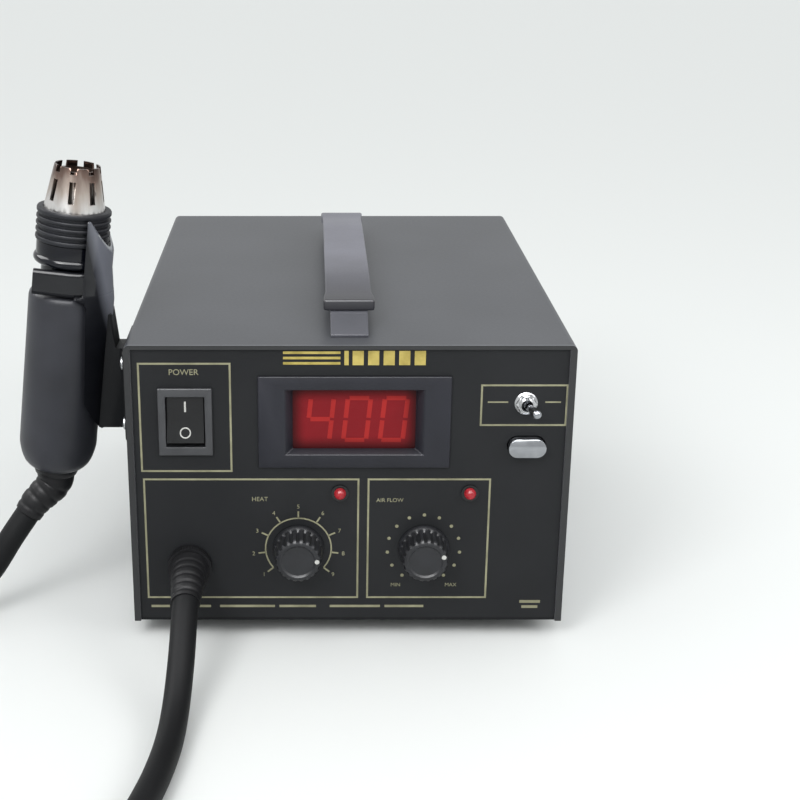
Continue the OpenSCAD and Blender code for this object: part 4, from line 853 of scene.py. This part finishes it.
# Polished ABS: black, brightest on the fork. The back rest's outside is painted grey near its top, a painted
# highlight on its glossy side
cradle_gloss = grained("polished_black_abs", "0f1014", "15161a", 1.6, 0.02, 0.24, patch_mm=20)
cradle_main, cradle_black = base_of(cradle_gloss)
cradle_place = add(cradle_gloss, "ShaderNodeTexCoord").outputs["Object"]
hand_axis = hand.to_3x3() @ Vector((0, 0, 1))
highlight_way = hand.to_3x3() @ Vector((1, 0, 0.25))


def along(mat, place, way, low, high, **values):
    """A value that runs from 0 to 1 between two distances from the hand's origin in a direction."""
    reach = add(mat, "ShaderNodeVectorMath", [(0, place)], operation="DOT_PRODUCT")
    reach.inputs[1].default_value = way
    start = hand.translation.dot(way)
    return add(mat, "ShaderNodeMapRange", [("Value", reach.outputs["Value"])],
               From_Min=start + low, From_Max=start + high, **values).outputs["Result"]


# The polish begins at the fork's lower edge, and the web below it is dull
fork_edge = (-0.0045, -0.0035)
fork_gloss = along(cradle_gloss, cradle_place, hand_axis, *fork_edge, To_Min=0.34, To_Max=0.1)
cradle_gloss.node_tree.links.new(fork_gloss, cradle_main.inputs["Roughness"])
fork_shine = along(cradle_gloss, cradle_place, hand_axis, *fork_edge, To_Min=0.08, To_Max=0.35)
cradle_gloss.node_tree.links.new(fork_shine, cradle_main.inputs["Specular IOR Level"])
# Painted highlight: the back rest's outside turns grey towards its top
highlight_share = along(cradle_gloss, cradle_place, highlight_way, 0.0128, 0.0165)
highlight_mix = add(cradle_gloss, "ShaderNodeMix", [("Factor", highlight_share), (mix_a, cradle_black)], data_type="RGBA")
highlight_mix.inputs[mix_b].default_value = linear("666870")
cradle_gloss.node_tree.links.new(highlight_mix.outputs[mix_out], cradle_main.inputs["Base Color"])
cradle = copied("holder_cradle", "casing")
# Its broad faces set the shading, not the slivers along their edges
pick(cradle)
broad = cradle.modifiers.new("broad_faces", "WEIGHTED_NORMAL")
broad.keep_sharp = True
bpy.ops.object.modifier_apply(modifier=broad.name)
give(cradle, cradle_gloss)


# Handpiece. Two dark grey grip shells screwed together, a glossy neck with its band, a ribbed collar
# and a slotted steel heat guard round the air tube, all on one axis that leans 7 degrees.
def on_hand(piece, mat):
    """Sets a piece drawn upright at the origin on the handpiece's axis, and makes it ride there."""
    piece.data.transform(hand)
    smooth(piece)
    give(piece, mat)
    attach(piece, "handpiece")


grip_r = 16.8
grip_profile = [(0, -5.9), (13.2, -5.9), (14.7, -6.2), (15.9, -6.9), (16.5, -7.9), (grip_r, -9.3),
                (grip_r, -30), (grip_r, -52), (grip_r, -74.5), (16.7, -76.6), (16.3, -78.6),
                (15.8, -80.6), (15.1, -82.5), (14.2, -84.3), (13.0, -85.7), (11.8, -86.8),
                (10.8, -87.4), (10, -87.5), (0, -87.5)]
grip = lathe("grip_shells", grip_profile, 72)
# The seam between the shells: a fine groove down both sides, where they meet
pick(grip)
picked_points(grip, lambda p: abs(p.y) < 0.05 and hypot(p.x, p.y) > 9 and -86 < p.z < -8)
bpy.ops.transform.resize(value=(0.98, 1, 1), center_override=(0, 0, 0))
bpy.ops.object.mode_set(mode="OBJECT")
# The three wells of the screws, in the rear shell
wells = []
for z in (-22, -46, -68):
    bpy.ops.object.select_all(action="DESELECT")
    bpy.ops.mesh.primitive_cylinder_add(vertices=24, radius=0.003, depth=0.008, rotation=(pi / 2, 0, 0),
                                        location=(-0.008, 0.017, z / 1000))
    bpy.ops.object.transform_apply(location=True, rotation=True, scale=True)
    wells.append(bpy.context.object)
well_cutter = joined("well_cutter", wells)
pick(grip)
cut = grip.modifiers.new("screw_wells", "BOOLEAN")
cut.operation = "DIFFERENCE"
cut.object = well_cutter
bpy.ops.object.modifier_apply(modifier=cut.name)
bpy.data.objects.remove(well_cutter)
# Moulded ABS: dark grey with a fine spark grain
grip_plastic = grained("moulded_grey_abs_grip", "27282d", "2f3036", 0.9, 0.15, 0.4, patch_mm=25,
                       Specular_IOR_Level=0.28)
on_hand(grip, grip_plastic)
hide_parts("grip_front_shell", "grip_rear_shell")

# Polished ABS: near black with a blue cast, and sharp reflections
neck_gloss = grained("polished_blue_black_abs", "090a11", "0d0f17", 1.6, 0.01, 0.12, patch_mm=20,
                     Specular_IOR_Level=0.35)
# The band ends below in a rounded lip, which sits on the fork and catches the light
lip = [(13.9 + 2.0 * sin(radians(a)), 7.9 - 2.1 * cos(radians(a))) for a in range(0, 151, 10)]
neck = lathe("neck_with_band", [(7, -6.2), (12.4, -6.2), (12.4, 5.2), (12.9, 5.8)] + lip
             + [(14.9, 10.2), (14.9, 14.6), (14.7, 15.3), (14.2, 15.6), (7, 15.6), (7, -6.2)])
on_hand(neck, neck_gloss)
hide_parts("neck_sleeve")
# The collar: four rounded grooves between five ribs, and a socket in its top for the guard
collar_r, collar_low, groove_pitch = 15.6, 15.6, 2.8
collar_profile = [(7.2, collar_low), (14.9, collar_low), (15.4, 15.8), (collar_r, 16.3)]
for i in range(4):
    z = collar_low + groove_pitch * (i + 1)
    collar_profile += [(collar_r, z - 1.2), (15.4, z - 0.9), (14.4, z - 0.6), (14.4, z + 0.4),
                       (15.4, z + 0.7), (collar_r, z + 1.0)]
collar_profile += [(collar_r, 28.9), (15.3, 29.4), (14.7, 29.6), (13.1, 29.6), (12.9, 29.3),
                   (12.9, 19.6), (7.2, 19.6), (7.2, collar_low)]
collar = lathe("ribbed_collar_turned", collar_profile)
# Glass filled nylon: dark grey, dull
collar_plastic = grained("dark_grey_glass_nylon", "1b1c20", "232429", 0.9, 0.15, 0.45, patch_mm=10,
                         Specular_IOR_Level=0.22)
on_hand(collar, collar_plastic)
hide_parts("ribbed_collar")

# Stainless steel that has been hot: bright grey at the base, straw and brown towards the mouth
guard_steel, guard_shader = shader("heat_tinted_stainless_steel", 0.28, 1.0)
guard_place = add(guard_steel, "ShaderNodeTexCoord").outputs["Object"]
guard_heat = along(guard_steel, guard_place, hand_axis, 0.0296, 0.0476, To_Min=-0.2, To_Max=0.45)
# Three stains in 20 mm. They run up the guard in streaks, so their pattern is stretched along the axis
guard_streaks = add(guard_steel, "ShaderNodeMapping", [("Vector", guard_place)])
guard_streaks.inputs["Scale"].default_value = (1, 1, 0.2)
guard_stain = add(guard_steel, "ShaderNodeTexNoise", [("Vector", guard_streaks.outputs["Vector"])],
                  Scale=3000 / 20, Detail=3.0)
guard_mix = add(guard_steel, "ShaderNodeMath",
                [(0, guard_heat), (1, guard_stain.outputs["Fac"])], operation="ADD")
guard_tone = ramp(guard_steel, guard_mix.outputs["Value"],
                  [(0.35, "cfcdcb"), (0.6, "ab9f96"), (0.8, "74625a"), (1, "4e403b")])
guard_steel.node_tree.links.new(guard_tone, guard_shader.inputs["Base Color"])
give(copied("heat_guard", "handpiece"), guard_steel)
give(copied("heater_tube", "handpiece"), guard_steel)
# Pressed mica: pale, matt, flaky
give(nodes["heater_core"], grained("mica_former", "a39a86", "b8af9b", 1.0, 0.1, 0.6))

cap = lathe("tail_cap_turned", [(0, -87.4), (10.0, -87.4), (10.0, -88.0), (9.9, -88.4), (9.1, -90.6),
                                (8.6, -91), (0, -91)])
on_hand(cap, gland_nylon)
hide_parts("tail_cap")
tail = [(0, 0, -91), (0, 0, -94), (-1.2, -0.5, -97.3), (-4.4, -1.8, -101.3), (-7.8, -3.2, -105.5),
        (-10.4, -4.3, -110.3)]
tail_boot = ribbed_boot("tail_boot_ribbed", [hand @ (Vector(p) / 1000) for p in tail], 8.3, 6.2, 5)
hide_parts("tail_boot")
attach(tail_boot, "handpiece")


# Inside the case: mains transformer, control board with its heat sink, diaphragm pump and air tube,
# and the mains inlet in the rear panel.

# Varnished laminations: dark steel under a thin lacquer
laminations = grained("varnished_laminations", "3d3e40", "4b4c4f", 1.0, 0.3, 0.5, metal=0.5)
give(nodes["transformer_core"], laminations)
# Polyester tape over the winding: yellow, smooth
winding_tape = grained("yellow_winding_tape", "a8842e", "b8943e", 2.0, 0.2, 0.45)
give(nodes["transformer_coil"], winding_tape)
# Extruded aluminium: pale, satin
aluminium = grained("extruded_aluminium", "9c9ea1", "b0b2b5", 1.0, 0.1, 0.35, metal=1.0)
give(nodes["heat_sink"], aluminium)
# Pressed and plated steel sheet: grey, satin
pressed = grained("pressed_plated_steel", "85878a", "999b9e", 1.0, 0.1, 0.35, metal=1.0)
for name in ("pump_frame", "pump_arm"):
    give(nodes[name], pressed)
# Enamelled copper wire, wound
copper = grained("wound_copper", "7a4420", "94582c", 0.8, 0.3, 0.4, metal=0.7)
give(nodes["pump_magnet"], copper)
give(nodes["pump_head"], foot_rubber)
# Silicone tube: milky, smooth
clear_tube = grained("clear_silicone_tube", "b4b4ae", "c2c2bc", 2.0, 0.1, 0.35)
give(nodes["air_tube"], clear_tube)
give(copied("mains_inlet", "casing"), black_gloss)
